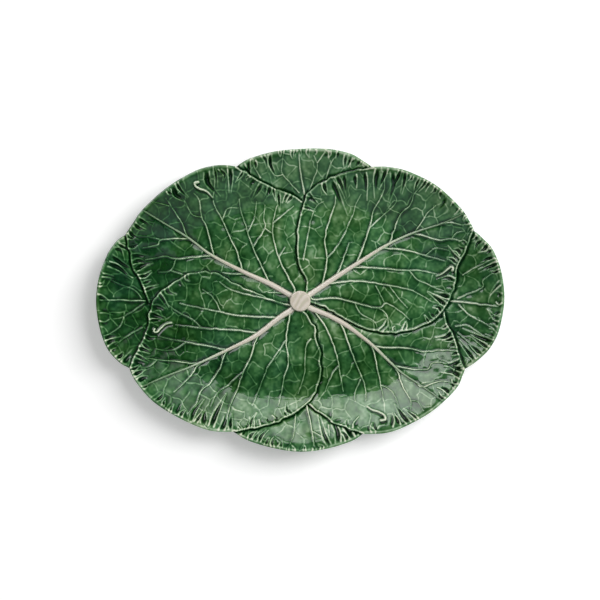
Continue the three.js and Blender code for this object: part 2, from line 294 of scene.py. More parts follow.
def pinch(field, line, width, depth):
    """Deepens a field by a sharp fold, which is widest near its start and runs out to a point."""
    for where, distance, share in along(line, width):
        taper = np.minimum(share / PINCH_PEAK, (1 - share) / (1 - PINCH_PEAK))
        taper = np.clip(taper, 0, 1) ** PINCH_FULLNESS
        half = width / 2 * (PINCH_BLUNT + (1 - PINCH_BLUNT) * taper)
        field[where] = np.maximum(field[where], depth * taper * np.clip(1 - distance / half, 0, 1))


# %% Distances, masks and swells
BOX_WIDTHS = 1.7  # three box averages spread about this many half widths of a box


def distance_to(lines, reach):
    """Distance to the nearest of some lines, up to a reach."""
    field = np.full(map_x.shape, float(reach))
    for line in lines:
        for where, distance, _ in along(line, reach):
            field[where] = np.minimum(field[where], distance)
    return field


def inside(*lines):
    """True where the map lies inside the closed outline that these lines make, end to start."""
    ring = np.vstack([line[:-1] for line in lines])
    where = window(ring, 1)
    x, y = map_x[where], map_y[where]
    hit = np.zeros(x.shape, bool)
    for (x0, y0), (x1, y1) in zip(ring, np.roll(ring, -1, axis=0)):
        if y0 != y1:
            hit ^= ((y0 > y) != (y1 > y)) & (x < (x1 - x0) * (y - y0) / (y1 - y0) + x0)
    mask = np.zeros(map_x.shape, bool)
    mask[where] = hit
    return mask


def blurred(field, radius):
    """A soft average over about this radius: three box averages, along rows and then columns."""
    half = max(1, round(radius / STEP / BOX_WIDTHS))
    for axis in (0, 1, 0, 1, 0, 1):
        wide = np.concatenate([np.repeat(np.take(field, [0], axis), half + 1, axis), field,
                               np.repeat(np.take(field, [-1], axis), half, axis)], axis)
        total = np.cumsum(wide, axis)
        size = field.shape[axis]
        upper = np.take(total, np.arange(2 * half + 1, 2 * half + 1 + size), axis)
        lower = np.take(total, np.arange(size), axis)
        field = (upper - lower) / (2 * half + 1)
    return field


def between(grid, row, column, up, across):
    """The value between four neighbours on a grid, at these shares of the way up and across."""
    low = grid[row, column] * (1 - across) + grid[row, column + 1] * across
    high = grid[row + 1, column] * (1 - across) + grid[row + 1, column + 1] * across
    return low * (1 - up) + high * up


def soft_noise(size, seed):
    """Gentle random swells of about this size, from -1 to 1."""
    draw = np.random.default_rng(seed)
    u, v = (map_x + REACH_X) / size, (map_y + REACH_Y) / size
    lattice = draw.uniform(-1, 1, (int(v.max()) + 3, int(u.max()) + 3))
    i, j = v.astype(int), u.astype(int)
    return between(lattice, i, j, eased(v - i), eased(u - j))


def varied(usual, spread, size, seed):
    """A value that varies gently about its usual one, in swells of about this size."""
    return usual + spread * soft_noise(size, seed)


# %% [markdown]
# ## The side veins
# These are the veins that a person would count: they leave a midrib, bend towards the rim and fork. Their
# routes are listed in millimetres from the stalk. A vein that starts at a midrib is a stout one,
# and a fork is thinner.

# %% Routes of the side veins
VEINS = {
    "ne": [
        [(3, 39), (10, 76), (15, 89), (22, 94)],
        [(21, 19), (25, 40), (23, 60), (30, 83), (33, 94), (34, 112)],
        [(25, 40), (39, 58), (48, 78), (52, 91), (57, 100)],
        [(37, 31), (46, 55)],
        [(54, 39), (65, 69), (69, 86), (77, 100), (79, 119)],
        [(65, 69), (80, 83), (88, 90), (90, 95), (86, 101)],
        [(83, 54), (93, 80), (102, 89), (107, 100), (114, 107)],
        [(106, 64), (116, 78), (120, 83), (126, 88)],
        [(12, 2), (33, 3), (50, -1), (73, -6), (81, -2), (94, -10), (102, -17)],
        [(73, -6), (81, -13), (83, -27)],
        [(51, -1), (56, -11), (69, -19), (72, -27)],
        [(30, 17), (54, 19), (83, 15), (105, 10), (122, 0)],
        [(83, 15), (91, 4), (100, -6)],
        [(71, 14), (79, -2)],
        [(54, 32), (75, 31), (102, 29), (112, 29), (128, 25)],
        [(102, 29), (110, 20), (119, 16), (134, 9)],
        [(83, 50), (104, 47), (117, 43), (135, 37)],
        [(117, 43), (126, 49), (138, 47)],
        [(109, 63), (127, 57), (141, 57), (152, 54)],
        [(141, 57), (144, 62), (152, 64)],
        [(140, 72), (151, 69)],
    ],
    "nw": [
        [(-5, 11), (-14, 28), (-20, 41), (-26, 66), (-23, 86), (-21, 91)],
        [(-25, 74), (-6, 90)],
        [(-20, 41), (-14, 51)],
        [(-28, 17), (-44, 51), (-49, 65), (-56, 87), (-57, 96)],
        [(-44, 51), (-33, 69), (-34, 77), (-33, 91)],
        [(-33, 69), (-26, 64)],
        [(-49, 65), (-43, 78), (-41, 94)],
        [(-52, 27), (-60, 49), (-66, 61), (-73, 77), (-81, 93), (-79, 115)],
        [(-73, 77), (-68, 87), (-58, 88)],
        [(-81, 45), (-88, 71), (-92, 79), (-94, 94), (-99, 100)],
        [(-92, 79), (-101, 81), (-107, 92), (-112, 97)],
        [(-106, 62), (-111, 74), (-120, 88), (-125, 95)],
        [(-122, 88), (-136, 91)],
        [(-83, 43), (-116, 40), (-126, 42), (-144, 38)],
        [(-116, 40), (-121, 29), (-132, 27)],
        [(-121, 29), (-108, 25)],
        [(-106, 59), (-129, 57), (-133, 52), (-146, 49)],
        [(-129, 57), (-142, 60)],
        [(-55, 26), (-62, 25.5), (-73, 27)],
        [(-17, 8), (-30, 8.5)],
    ],
    "sw": [
        [(-11, -3), (-39, 4), (-62, 10), (-75, 18)],
        [(-20, -15), (-59, -13), (-74, -10), (-95, -6), (-112, -2)],
        [(-74, -10), (-81, 3), (-91, 11)],
        [(-38, -29), (-59, -27), (-92, -25), (-116, -22)],
        [(-92, -25), (-100, -17), (-112, -11), (-125, -2)],
        [(-70, -45), (-85, -42), (-106, -38), (-131, -33)],
        [(-106, -38), (-118, -46), (-133, -45)],
        [(-100, -58), (-115, -56), (-132, -55), (-146, -53)],
        [(-132, -55), (-139, -62), (-147, -62)],
        [(10, -35), (5, -44), (4, -68), (-2, -86)],
        [(-10, -15), (-13, -36), (-11, -56), (-15, -73), (-20, -97)],
        [(-13, -36), (-29, -60), (-35, -74), (-41, -90), (-44, -97)],
        [(-41, -36), (-46, -52), (-53, -66), (-59, -84), (-65, -98), (-68, -114)],
        [(-53, -66), (-67, -78), (-77, -86), (-82, -98)],
        [(-70, -49), (-75, -63), (-83, -76), (-92, -84), (-95, -94), (-103, -105)],
        [(-96, -61), (-103, -72), (-116, -85)],
    ],
    "se": [
        [(71, -42), (102, -44), (114, -47), (128, -46), (146, -47)],
        [(92, -61), (116, -64), (122, -58), (134, -58)],
        [(113, -80), (129, -75), (140, -77)],
        [(17, -14), (26, -28), (34, -51), (38, -73), (40, -84)],
        [(36, -60), (29, -69), (23, -84)],
        [(40, -25), (47, -45), (54, -63), (60, -78), (61, -92)],
        [(56, -73), (51, -84), (51, -93)],
        [(68, -45), (71, -60), (75, -78), (77, -93)],
        [(75, -78), (85, -84), (91, -98)],
        [(91, -67), (95, -80), (102, -93), (101, -102)],
        [(102, -93), (108, -94), (113, -102)],
        [(24, -12.6), (30.5, -13.6)],
        [(39, -20.4), (50, -21.8)],
    ],
    "n": [
        [(4, 101), (0, 123), (-1, 137)],
        [(-1, 102), (-16, 118), (-17, 126), (-15, 138)],
        [(-16, 118), (-23, 117), (-30, 126)],
        [(-37, 115), (-45, 128)],
        [(8, 103), (16, 123), (13, 134)],
        [(16, 128), (23, 137)],
        [(24, 114), (29, 128), (36, 136)],
    ],
    "e": [
        [(140, 0), (160, -3), (182, -7)],
        [(146, 2), (168, 11), (169, 18), (179, 25)],
        [(151, 24), (162, 30), (179, 38)],
        [(147, -4), (157, -14), (170, -22), (179, -29)],
        [(144, -24), (155, -24), (170, -35)],
        [(146, -30), (158, -42), (162, -48)],
    ],
    "s": [
        [(6, -97), (11, -121), (13, -137)],
        [(-4, -105), (-6, -124), (-10, -134)],
        [(26, -115), (27, -125)],
        [(11, -121), (23, -128), (25, -135)],
    ],
    "w": [
        [(-144, 0), (-164, 0), (-184, -1)],
        [(-144, -2), (-162, -15), (-172, -18)],
        [(-163, -16), (-165, -23), (-172, -30), (-180, -34)],
        [(-146, -25), (-163, -36), (-170, -42)],
        [(-147, 2), (-154, 10), (-172, 17), (-177, 22)],
        [(-155, 21), (-170, 28), (-178, 35)],
    ],
}
# A curled fold of the leaf, which stands up as a hook near the edge.
HOOKS = {
    "nw": [(-82, 97), (-87, 102), (-93, 104), (-97, 106), (-98, 109), (-95, 110)],
    "ne": [(127, 23.5), (132, 25.5), (136.5, 29), (140, 31.5), (142, 30.5), (141.5, 28.5)],
    "sw": [(-119.5, -20), (-125, -21.5), (-129.5, -25.5), (-133, -29), (-135.5, -28.5), (-135, -26.5)],
    "se": [(62, -98), (66, -101), (72, -103), (77, -106), (78, -110), (74, -111)],
}
STOUT_WIDTH, STOUT_HEIGHT = (1.75, 0.85), (1.0, 0.45)
FORK_WIDTH, FORK_HEIGHT = (1.2, 0.75), (0.6, 0.38)
HOOK_WIDTH, HOOK_HEIGHT = (1.6, 2.4), (0.6, 1.4)
DITCH_WIDTH = (8, 5)  # the ground sinks a little beside a vein
STOUT_DITCH, FORK_DITCH = (0.4, 0.2), (0.25, 0.15)
NEAR_RIB = 7  # a vein that starts this near to a midrib springs from it
VEIN_RUN = 4  # how many points of the midrib's line a vein runs along it before it leaves
# Each hook has a hollow beside it, always to the south: a dent in the leaf, and its dark pooled glaze is
# painted shadow of the curl.
HOOK_SHADE_HOLLOW = np.array([0.4, -2.0])  # from a hook to the hollow under it
HOOK_SHADE_WIDTH, HOOK_SHADE_DEPTH = (1.8, 2.4), (0.6, 1.2)
print(sum(map(len, VEINS.values())), "side veins and forks")

# %% [markdown]
# ## The fine net of veins
# Between a leaf's side veins runs a net of finer ones, which divides it into many-sided cells. Scattered
# points, each owning the ground nearest to it, divide a plane in just that way, and the net runs where two
# points are equally near. Here the points are set in rows along both sides of every vein, so the threads
# of the net spring from the veins as they do on a leaf. Some threads are left out and some are faint.

# %% Points for the net's cells
NET_SIZE = 12.5  # a cell's usual width; the next values are shares of it
ROW_START, ROW_SPACING = (0.3, 0.9), (0.75, 1.5)
ROW_ASIDE = (0.36, 0.56)  # from a vein to the rows of points beside it
ROW_ROOM, OPEN_ROOM = 0.62, 0.8  # the least distance between points, in rows and on open ground
OPEN_TRIES = 4000


def has_room(x, y, others, room):
    """True where no other point lies within this distance."""
    return all(math.hypot(x - px, y - py) > room for px, py, _, _ in others)


def net_points(lines, mask, size, seed):
    """Points in rows beside each line and then on the open ground, each as (x, y, line, hand)."""
    draw = np.random.default_rng(seed)
    made = []
    for number, line in enumerate(lines):
        far, side = lengths(line), normals(line)
        for hand in (-1, 1):
            at = draw.uniform(*ROW_START) * size
            while at < far[-1]:
                out = hand * draw.uniform(*ROW_ASIDE) * size
                x, y = (np.interp(at, far, line[:, k] + out * side[:, k]) for k in (0, 1))
                if has_room(x, y, made, ROW_ROOM * size):
                    made.append((x, y, number, hand))
                at += size * draw.uniform(*ROW_SPACING)
    low_x, high_x = map_x[mask].min(), map_x[mask].max()
    low_y, high_y = map_y[mask].min(), map_y[mask].max()
    for _ in range(OPEN_TRIES):
        x, y = draw.uniform(low_x, high_x), draw.uniform(low_y, high_y)
        column, row = map(int, map_place(x, y))
        if mask[row, column] and has_room(x, y, made, OPEN_ROOM * size):
            made.append((x, y, -1, 0))
    return np.array(made)


# %% Threads between the cells
WAVER, WAVER_SIZE = 0.15, 0.5  # how far the threads stray, and the size of their waves, in cells
CELL_WINDOW = 2  # how far round its point a cell is looked for, in cells
PAIR_CODE = 7.31  # gives each pair of cells its own strength of thread


def cell_net(points, size, seed):
    """Distance to the cells' edges, strength of the nearest thread, distance to the cell's own point."""
    draw = np.random.default_rng(seed)
    code = draw.uniform(0, 1, len(points))
    x = map_x + WAVER * size * soft_noise(size * WAVER_SIZE, seed + 1)
    y = map_y + WAVER * size * soft_noise(size * WAVER_SIZE, seed + 2)
    reach = CELL_WINDOW * size
    near = np.full(map_x.shape, reach)
    own = np.zeros(map_x.shape, int)
    for number, point in enumerate(points):
        where = window(point[None, :2], reach)
        far = np.hypot(x[where] - point[0], y[where] - point[1])
        own[where] = np.where(far < near[where], number, own[where])
        near[where] = np.minimum(near[where], far)
    edge = np.full(map_x.shape, reach)
    thread = np.zeros(map_x.shape)
    for number, point in enumerate(points):
        where = window(point[None, :2], reach)
        mine = points[own[where]]
        apart = np.hypot(mine[..., 0] - point[0], mine[..., 1] - point[1])
        far = np.hypot(x[where] - point[0], y[where] - point[1])
        bisector = (far ** 2 - near[where] ** 2) / (2 * apart + SLIVER)
        closer = (own[where] != number) & (bisector < edge[where])
        edge[where] = np.where(closer, bisector, edge[where])
        strength = np.modf((code[own[where]] + code[number]) * PAIR_CODE)[0]
        same_vein = (mine[..., 2] == point[2]) & (mine[..., 3] != point[3]) & (point[2] >= 0)
        thread[where] = np.where(closer, np.where(same_vein, 0, strength), thread[where])
    return edge, thread, near


print("a net with cells about", NET_SIZE, "mm wide")

# %% [markdown]
# ## The frills
# Along its free edges a cabbage leaf is longer than it has room for, so it puckers into short folds that
# run in from the edge. Here each fold is a pinched hollow between two thin crests, which close round its
# inner end and run on as one small vein. How crowded and how deep the folds are differs along each edge,
# and a narrow margin stays free of them. Near a curled hook there are none.

# %% Puckers along a stretch of an edge
FOLD_SIZES = [0.5, 0.8, 1.0, 1.2]
FOLD_START = (0.3, 0.8)  # this and the next two are in spacings
FOLD_HALF_WIDTH = (0.2, 0.32)
FOLD_BEND = 0.14
FOLD_TAIL = (0.4, 1.2)  # how far the crests run on past the hollow, in half lengths of the hollow
FOLD_HOLLOW = 2.7  # the whole hollow, in half widths of its fold
HOOK_ROOM = 4.5  # no fold lies nearer to a hook
CREST_CHANCE = 0.8
CREST_HEIGHT, CREST_END = (0.3, 0.75), 0.6  # where it is highest, and the share of that at its end
CREST_WIDTH = (1.8, 1.1)
CREST_FLARE, CREST_SPREAD = 1.1, (0, 0.9)  # how far apart two crests start and end, in half widths
EDGE_STOP = 2  # no fold starts nearer to the stretch's end


def pucker(pits, crests, line, inward, hook, seed, share, spacing, uneven, reach, depth, margin, lean):
    """Draws folds along a line. Inward is 1 or -1: the side of the line that the leaf lies on."""
    draw = np.random.default_rng(seed)
    far, side = lengths(line), normals(line) * inward
    at = share[0] * far[-1] + draw.uniform(*FOLD_START) * spacing
    while at < share[1] * far[-1] - EDGE_STOP:
        point = np.array([np.interp(at, far, line[:, k]) for k in (0, 1)])
        into = np.array([np.interp(at, far, side[:, k]) for k in (0, 1)])
        across = np.array([-into[1], into[0]])
        at += spacing * draw.uniform(*uneven)
        size = draw.choice(FOLD_SIZES)
        outer = point + into * draw.uniform(*margin)
        inner = outer + (into * draw.uniform(*reach) + across * draw.normal(0, lean) * spacing) * size
        middle = (outer + inner) / 2 + across * draw.normal(0, FOLD_BEND) * spacing
        half = draw.uniform(*FOLD_HALF_WIDTH) * spacing * math.sqrt(size)
        deep = draw.uniform(*depth) * math.sqrt(size)
        tail = inner + (inner - middle) * draw.uniform(*FOLD_TAIL)
        pair = []
        for hand in (-1, 1):
            if draw.uniform() < CREST_CHANCE:
                pair.append((hand, draw.uniform(*CREST_HEIGHT), draw.uniform(*CREST_SPREAD)))
        if hook is not None and np.hypot(*(hook - middle).T).min() < HOOK_ROOM:
            continue
        pinch(pits, smooth([outer, middle, inner], spacing=1.0), half * FOLD_HOLLOW, deep)
        for hand, high, apart in pair:
            aside = hand * half * across
            beside = [outer - into + CREST_FLARE * aside, middle + aside, tail + apart * aside]
            stroke(crests, smooth(beside, spacing=1.2), CREST_WIDTH, (high, high * CREST_END))


# %% Where the edges pucker, and how
# The distance between folds, how far they run in, how deep they are and how far from the edge they start.
POD = dict(spacing=7.4, uneven=(0.65, 1.4), reach=(8, 20), depth=(1.6, 3.2), margin=(2.2, 5.8), lean=0.3)
FINE = dict(spacing=5.6, uneven=(0.6, 1.6), reach=(4, 9), depth=(1.0, 2.1), margin=(1.8, 4.6), lean=0.3)
LADDER = dict(spacing=7.0, uneven=(0.8, 1.25), reach=(6, 11), depth=(1.9, 3.2), margin=(2.0, 3.6), lean=0.1)
FAINT = dict(spacing=8.0, uneven=(0.5, 1.7), reach=(3, 8), depth=(0.4, 1.0), margin=(2.2, 5.0), lean=0.3)
TINY = dict(spacing=4.6, uneven=(0.6, 1.6), reach=(2, 4.5), depth=(0.5, 1.1), margin=(1.2, 2.6), lean=0.25)
PUCKERS = {
    "ne": [("rim", "ne", 0.0, 0.3, POD), ("rim", "ne", 0.3, 0.7, FINE), ("rim", "ne", 0.7, 1, TINY),
           ("edge", "ne_seam", 0.02, 0.3, POD), ("edge", "ne_seam", 0.36, 0.5, FINE),
           ("edge", "ne_lower", 0.34, 0.5, FAINT), ("edge", "ne_lower", 0.55, 0.72, LADDER),
           ("edge", "ne_lower", 0.74, 0.98, FINE)],
    "sw": [("rim", "sw", 0.0, 0.42, POD), ("rim", "sw", 0.42, 0.74, FINE), ("rim", "sw", 0.78, 1, LADDER),
           ("edge", "sw_upper", 0.02, 0.3, LADDER), ("edge", "sw_upper", 0.32, 0.5, FAINT),
           ("edge", "sw_seam", 0.66, 0.98, FINE)],
    "nw": [("rim", "nw", 0.0, 0.2, LADDER), ("rim", "nw", 0.42, 1, POD), ("edge", "nw_top", 0.05, 0.95, FINE),
           ("edge", "nw_side", 0.1, 1, LADDER)],
    "se": [("rim", "se", 0.0, 0.32, LADDER), ("rim", "se", 0.52, 1, POD),
           ("edge", "se_side", 0.0, 0.95, LADDER), ("edge", "se_foot", 0.3, 1, FAINT)],
    "n": [("rim", "n", 0.02, 0.3, POD), ("rim", "n", 0.3, 0.62, TINY), ("rim", "n", 0.62, 0.98, FINE)],
    "e": [("rim", "e", 0.02, 0.32, LADDER), ("rim", "e", 0.35, 0.7, FAINT), ("rim", "e", 0.7, 0.98, POD)],
    "s": [("rim", "s", 0.02, 0.3, POD), ("rim", "s", 0.3, 0.6, TINY), ("rim", "s", 0.6, 0.98, FINE)],
    "w": [("rim", "w", 0.02, 0.3, LADDER), ("rim", "w", 0.34, 0.7, FAINT), ("rim", "w", 0.74, 0.98, POD)],
}
print(sum(map(len, PUCKERS.values())), "puckered stretches")

# %% [markdown]
# ## One leaf's relief
# A leaf's height above the dish is put together from its marks: puffed ground, the net, the side veins, a
# trench along the midrib, a raised lip along the free edge, the puckers, and a groove where a higher leaf
# lies on it. The rim as a whole is hollowed a little, and its margin curls up. The glaze then follows from
# the heights. What stands above its surroundings is bare and pale, and what lies below them is full of
# glaze. Last comes the glaze's own unevenness, from how the piece was dipped and drained, together with
# painted shade that darkens the west and painted light that makes the south rim paler.

# %% Who lies on whom
LEAVES = {
    "ne": dict(node="large_leaf_ne", order="upper", edges=["ne_lower", "ne_seam"], under=[]),
    "sw": dict(node="large_leaf_sw", order="upper", edges=["sw_seam", "sw_upper"], under=[]),
    "nw": dict(node="large_leaf_nw", order="middle", edges=["nw_top", "nw_side"], under=["ne", "sw"]),
    "se": dict(node="large_leaf_se", order="middle", edges=["se_side", "se_foot"], under=["ne", "sw"]),
    "n": dict(node="small_leaf_n", order="lower", edges=[], under=["ne", "nw"]),
    "e": dict(node="small_leaf_e", order="lower", edges=[], under=["ne", "se"]),
    "s": dict(node="small_leaf_s", order="lower", edges=[], under=["sw", "se"]),
    "w": dict(node="small_leaf_w", order="lower", edges=[], under=["sw", "nw"]),
}
OUTLINES = {
    "ne": [edge_lines["ne_lower"], rim_lines["ne"][::-1], edge_lines["ne_seam"]],
    "sw": [edge_lines["sw_seam"], rim_lines["sw"], edge_lines["sw_upper"]],
    "nw": [rim_lines["nw"], edge_lines["nw_top"], hidden_lines["nw"], edge_lines["nw_side"]],
    "se": [rim_lines["se"][::-1], edge_lines["se_side"], hidden_lines["se"], edge_lines["se_foot"]],
    **{side: [rim_lines[side], hidden_lines[side]] for side in "nesw"},
}
TUCK = 1.2  # how far a lower leaf's visible piece runs in under the leaf above
RIB_WIDTH = (5.8, 1.4)  # at the stalk and at the rim
RIM_CUP = 1.2  # how much the rim is hollowed halfway out
RIM_CURL, CURL_WIDTH = 1.3, 9.0  # how far the margin curls up from the rim's slope, and its width
SHALLOW = {"sw_upper": 0.5, "ne_seam": 0.8}  # edges with less of a groove beside them than the others
FAR_OFF = 20.0  # distances to edges are worked out up to here
leaf_mask = {side: inside(*lines) for side, lines in OUTLINES.items()}
free_edge = {side: [edge_lines[name] for name in leaf["edges"]] for side, leaf in LEAVES.items()}
to_line = {name: distance_to([line], FAR_OFF) for name, line in edge_lines.items()}
edge_distance = {side: distance_to(lines, FAR_OFF) for side, lines in free_edge.items()}
rim_distance = {side: distance_to([line], FAR_OFF) for side, line in rim_lines.items()}
for side, mask in leaf_mask.items():
    print("leaf", side, "covers", round(mask.sum() * STEP * STEP / 100), "square cm")


# %% The veins and folds of one leaf
CALM_DEPTH = 0.5  # where a fold is this deep, or a hook this high, finer marks give way to it
PROBE = 3  # how far beside a line the leaf is looked for
PUCKER_SEEDS = 7  # from one stretch's seed to the next


def vein_lines(side, seed):
    """The lines of a leaf's side veins, each with whether it is a stout one."""
    rib = rib_lines.get(side)
    made = []
    for number, route in enumerate(VEINS[side]):
        if rib is None:
            stout = number == 0
        else:
            to_rib = np.hypot(*(rib - np.array(route[0])).T)
            stout = to_rib.min() < NEAR_RIB
            if stout:
                route = [tuple(rib[max(0, to_rib.argmin() - VEIN_RUN)])] + route
        made.append((rippled(smooth(route, spacing=1.5), seed + number, VEIN_RIPPLE), stout))
    return made


def inward_side(line, mask):
    """1 if the leaf lies to the left of the line, and -1 if it lies to the right."""
    columns, rows = map_place(*(line + normals(line) * PROBE).T)
    columns = np.clip(columns.astype(int), 0, len(xs) - 1)
    rows = np.clip(rows.astype(int), 0, len(ys) - 1)
    return 1 if mask[rows, columns].mean() > 0.5 else -1


def folds_of(side, seed):
    """How deep a leaf's folds are, and how high their crests and its hook stand."""
    pits, crests, curl = (np.zeros(map_x.shape) for _ in range(3))
    hook = None
    if side in HOOKS:
        hook = smooth(HOOKS[side], spacing=1.0)
        stroke(curl, hook, HOOK_WIDTH, HOOK_HEIGHT)
        # The hollow south of the hook: a dent whose dark pooled glaze paints the hook's shadow.
        stroke(pits, hook + HOOK_SHADE_HOLLOW, HOOK_SHADE_WIDTH, HOOK_SHADE_DEPTH)
    for number, (kind, name, first, last, manner) in enumerate(PUCKERS[side]):
        line = rim_lines[name] if kind == "rim" else edge_lines[name]
        inward = inward_side(line, leaf_mask[side])
        pucker(pits, crests, line, inward, hook, seed + PUCKER_SEEDS * number, share=(first, last), **manner)
    clear = 1 - np.clip(curl / CALM_DEPTH, 0, 1)
    return pits * clear, np.maximum(crests * clear, curl)


# %% The net, lips and grooves of one leaf
NET_GONE = 0.14  # the share of the threads that is left out
THREAD_LEAST, THREAD_MORE = 0.6, 0.3  # the strength of the weakest thread, and what the strongest has more
NET_HEIGHT, NET_WIDTH = 0.26, 0.6
NET_DITCH, NET_DITCH_WIDTH = 0.1, 1.8
LIP_PLACE, LIP_WIDTH = 1.1, 0.9  # from a free edge to the top of its lip
EDGE_FALL, EDGE_FALL_WIDTH = 0.5, 0.4  # how far the edge itself falls away
RIM_LIP, RIM_LIP_PLACE, RIM_LIP_WIDTH = 0.3, 1.8, 1.2  # a lower lip along the rim
# What varies gently from place to place: its usual value, its spread and the size of the swells.
NET_STRENGTH = (0.85, 0.35, 20)
LIP_HEIGHT = (0.65, 0.3, 12)
GROOVE_WIDTH = (1.9, 0.8, 10)
PUFF_BROAD = (0, 0.4, 14)
PUFF_CLOSE = (0, 0.2, 6)


def net_of(side, lines, calm, seed):
    """The height of a leaf's net, the ditches beside its threads, and the distance to the cells' points."""
    points = net_points(lines, leaf_mask[side], NET_SIZE, seed)
    edge, thread, centre = cell_net(points, NET_SIZE, seed + 5)
    kept = np.where(thread < NET_GONE, 0, THREAD_LEAST + THREAD_MORE * thread)
    strength = kept * varied(*NET_STRENGTH, seed + 64) * calm
    net = NET_HEIGHT * strength * bump(edge, NET_WIDTH)
    return net, NET_DITCH * strength * bump(edge, NET_DITCH_WIDTH), centre


def lip_of(side, seed):
    """The height of a leaf's lips, along its free edges and its rim."""
    to_edge, to_rim = edge_distance[side], rim_distance[side]
    lip = varied(*LIP_HEIGHT, seed + 62) * bump(to_edge - LIP_PLACE, LIP_WIDTH)
    lip -= EDGE_FALL * bump(to_edge, EDGE_FALL_WIDTH)
    return lip + RIM_LIP * bump(to_rim - RIM_LIP_PLACE, RIM_LIP_WIDTH)


def groove_of(side, seed):
    """The depth of the grooves in a leaf, along the edges of the leaves that lie on it."""
    groove = np.zeros(map_x.shape)
    width = varied(*GROOVE_WIDTH, seed + 63)
    for above in LEAVES[side]["under"]:
        for name in LEAVES[above]["edges"]:
            groove = np.maximum(groove, SHALLOW.get(name, 1) * bump(to_line[name], width))
    return groove


# %% The relief of one leaf
TRENCH_BESIDE, TRENCH_DEPTH = (3.4, 2.4), (0.9, 0.4)  # beside the midrib: width past the rib's, and depth
VEIN_IN_FOLD = 0.4  # the share of a vein's height that is left in a fold
CELL_SAG, CELL_REACH = 0.03, 5  # how far a cell's ground has sunk, and how far from its middle
GATHERS = 0.8  # the glaze that a hollow gathers for its depth, where a groove gathers 1
SHEDS = {"net": 3.4, "veins": 0.75, "crests": 0.6}  # the glaze that a mark sheds for its height


def relief_of(side, seed):
    """A leaf's relief, its rim's bend, where glaze pools on it, its folds, and the distance to its rim."""
    veins, ditch, trench = (np.zeros(map_x.shape) for _ in range(3))
    lines = []
    for line, stout in vein_lines(side, seed):
        lines.append(line)
        stroke(veins, line, STOUT_WIDTH if stout else FORK_WIDTH, STOUT_HEIGHT if stout else FORK_HEIGHT)
        stroke(ditch, line, DITCH_WIDTH, STOUT_DITCH if stout else FORK_DITCH)
    if side in rib_lines:
        lines.append(rib_lines[side])
        stroke(trench, rib_lines[side], np.add(RIB_WIDTH, TRENCH_BESIDE), TRENCH_DEPTH)
    pits, crests = folds_of(side, seed)
    calm = 1 - np.clip(pits / CALM_DEPTH, 0, 1)
    net, net_ditch, centre = net_of(side, lines, calm, seed)
    ditch = np.maximum(ditch, net_ditch)
    puff = varied(*PUFF_BROAD, seed + 60) + varied(*PUFF_CLOSE, seed + 61)
    puff -= CELL_SAG * (centre / CELL_REACH) ** 2
    raised = np.maximum(net, np.maximum(veins * (VEIN_IN_FOLD + (1 - VEIN_IN_FOLD) * calm), crests))
    groove, to_rim = groove_of(side, seed), rim_distance[side]
    out = np.clip(station - 1, 0, 1)
    cup = -4 * RIM_CUP * out * (1 - out) + RIM_CURL * np.clip(1 - to_rim / CURL_WIDTH, 0, 1) ** 2
    relief = puff - ditch + raised + lip_of(side, seed) - pits - trench - groove
    pooled = groove + GATHERS * (trench + ditch + pits)
    pooled -= SHEDS["net"] * net + SHEDS["veins"] * veins + SHEDS["crests"] * crests
    return relief, cup, pooled, pits, to_rim


# %% The glaze of one leaf
GLAZE_USUAL = 0.545
GLAZE_EVENS = {1.6: 0.8, 6: 0.15}  # how much the glaze evens out the relief, by the radius looked at
GLAZE_POOLS = 0.25
FOLD_EASE = 0.6  # the share of a fold's depth that the glaze is slow to fill
RIM_BARE = {0.9: 0.16, 5: 0.1}  # how much thinner it is at the rim, by the width that this fades over
# It lies thicker and darker in the west, on the north rim and along the well's southern edge, and thinner
# and paler on the south rim. The darker west is painted shade and the paler south rim is painted light.
# Each pair of lists gives places and what is added there.
GLAZE_AND_SHADE_DRIFT_X = ([-160, -120, -40, 60, 110, 150, 185], [0.17, 0.16, -0.01, -0.01, 0.03, -0.02, 0.06])
GLAZE_AND_LIGHT_DRIFT_Y = ([-135, -125, -115, -100, -80, -55, 0, 30, 135],
                 [0.06, -0.03, -0.06, -0.09, -0.06, 0.01, 0, -0.02, -0.05])
DRIFT_X_SHARE = ([-90, -55, -35], [0.6, 0.7, 1])  # along y: how much of the drift along x counts
GLAZE_DRIFT_NORTH = ([1, 1.15, 1.6, 1.9], [0, 0.06, 0.05, 0])  # by station, on the north rim
NORTH_FADE = 40  # from the middle to where all of that counts
GLAZE_DRIFT_SOUTH = ([0.55, 0.75, 0.92, 1.02], [0, 0.09, 0.1, 0])  # by station, in the south of the well
SOUTH_START, SOUTH_FADE = -35, 25
GLAZE_CLOUDS = {24: 0.07, 9: 0.06, 4: 0.07, 2: 0.07}  # how uneven it is, by the size of the clouds


def glaze_of(relief, pooled, pits, to_rim, seed):
    """How thick the glaze lies, from 0 on a bare crest to 1 in a full hollow, with painted shade in the west
    and painted light on the south rim.
    """
    relief = relief + FOLD_EASE * pits
    glaze = GLAZE_USUAL + GLAZE_POOLS * pooled
    for radius, amount in GLAZE_EVENS.items():
        glaze += amount * (blurred(relief, radius) - relief)
    for size, amount in GLAZE_CLOUDS.items():
        glaze += amount * soft_noise(size, seed + 70 + size)
    for width, amount in RIM_BARE.items():
        glaze -= amount * bump(to_rim, width)
    # Painted shade in the west and painted light on the south rim, added to the glaze's thickness.
    glaze += np.interp(map_x, *GLAZE_AND_SHADE_DRIFT_X) * np.interp(map_y, *DRIFT_X_SHARE)
    glaze += np.interp(map_y, *GLAZE_AND_LIGHT_DRIFT_Y)
    glaze += np.interp(station, *GLAZE_DRIFT_NORTH) * np.clip(map_y / NORTH_FADE, 0, 1)
    glaze += np.interp(station, *GLAZE_DRIFT_SOUTH) * np.clip((SOUTH_START - map_y) / SOUTH_FADE, 0, 1)
    return np.clip(glaze, 0, 1)


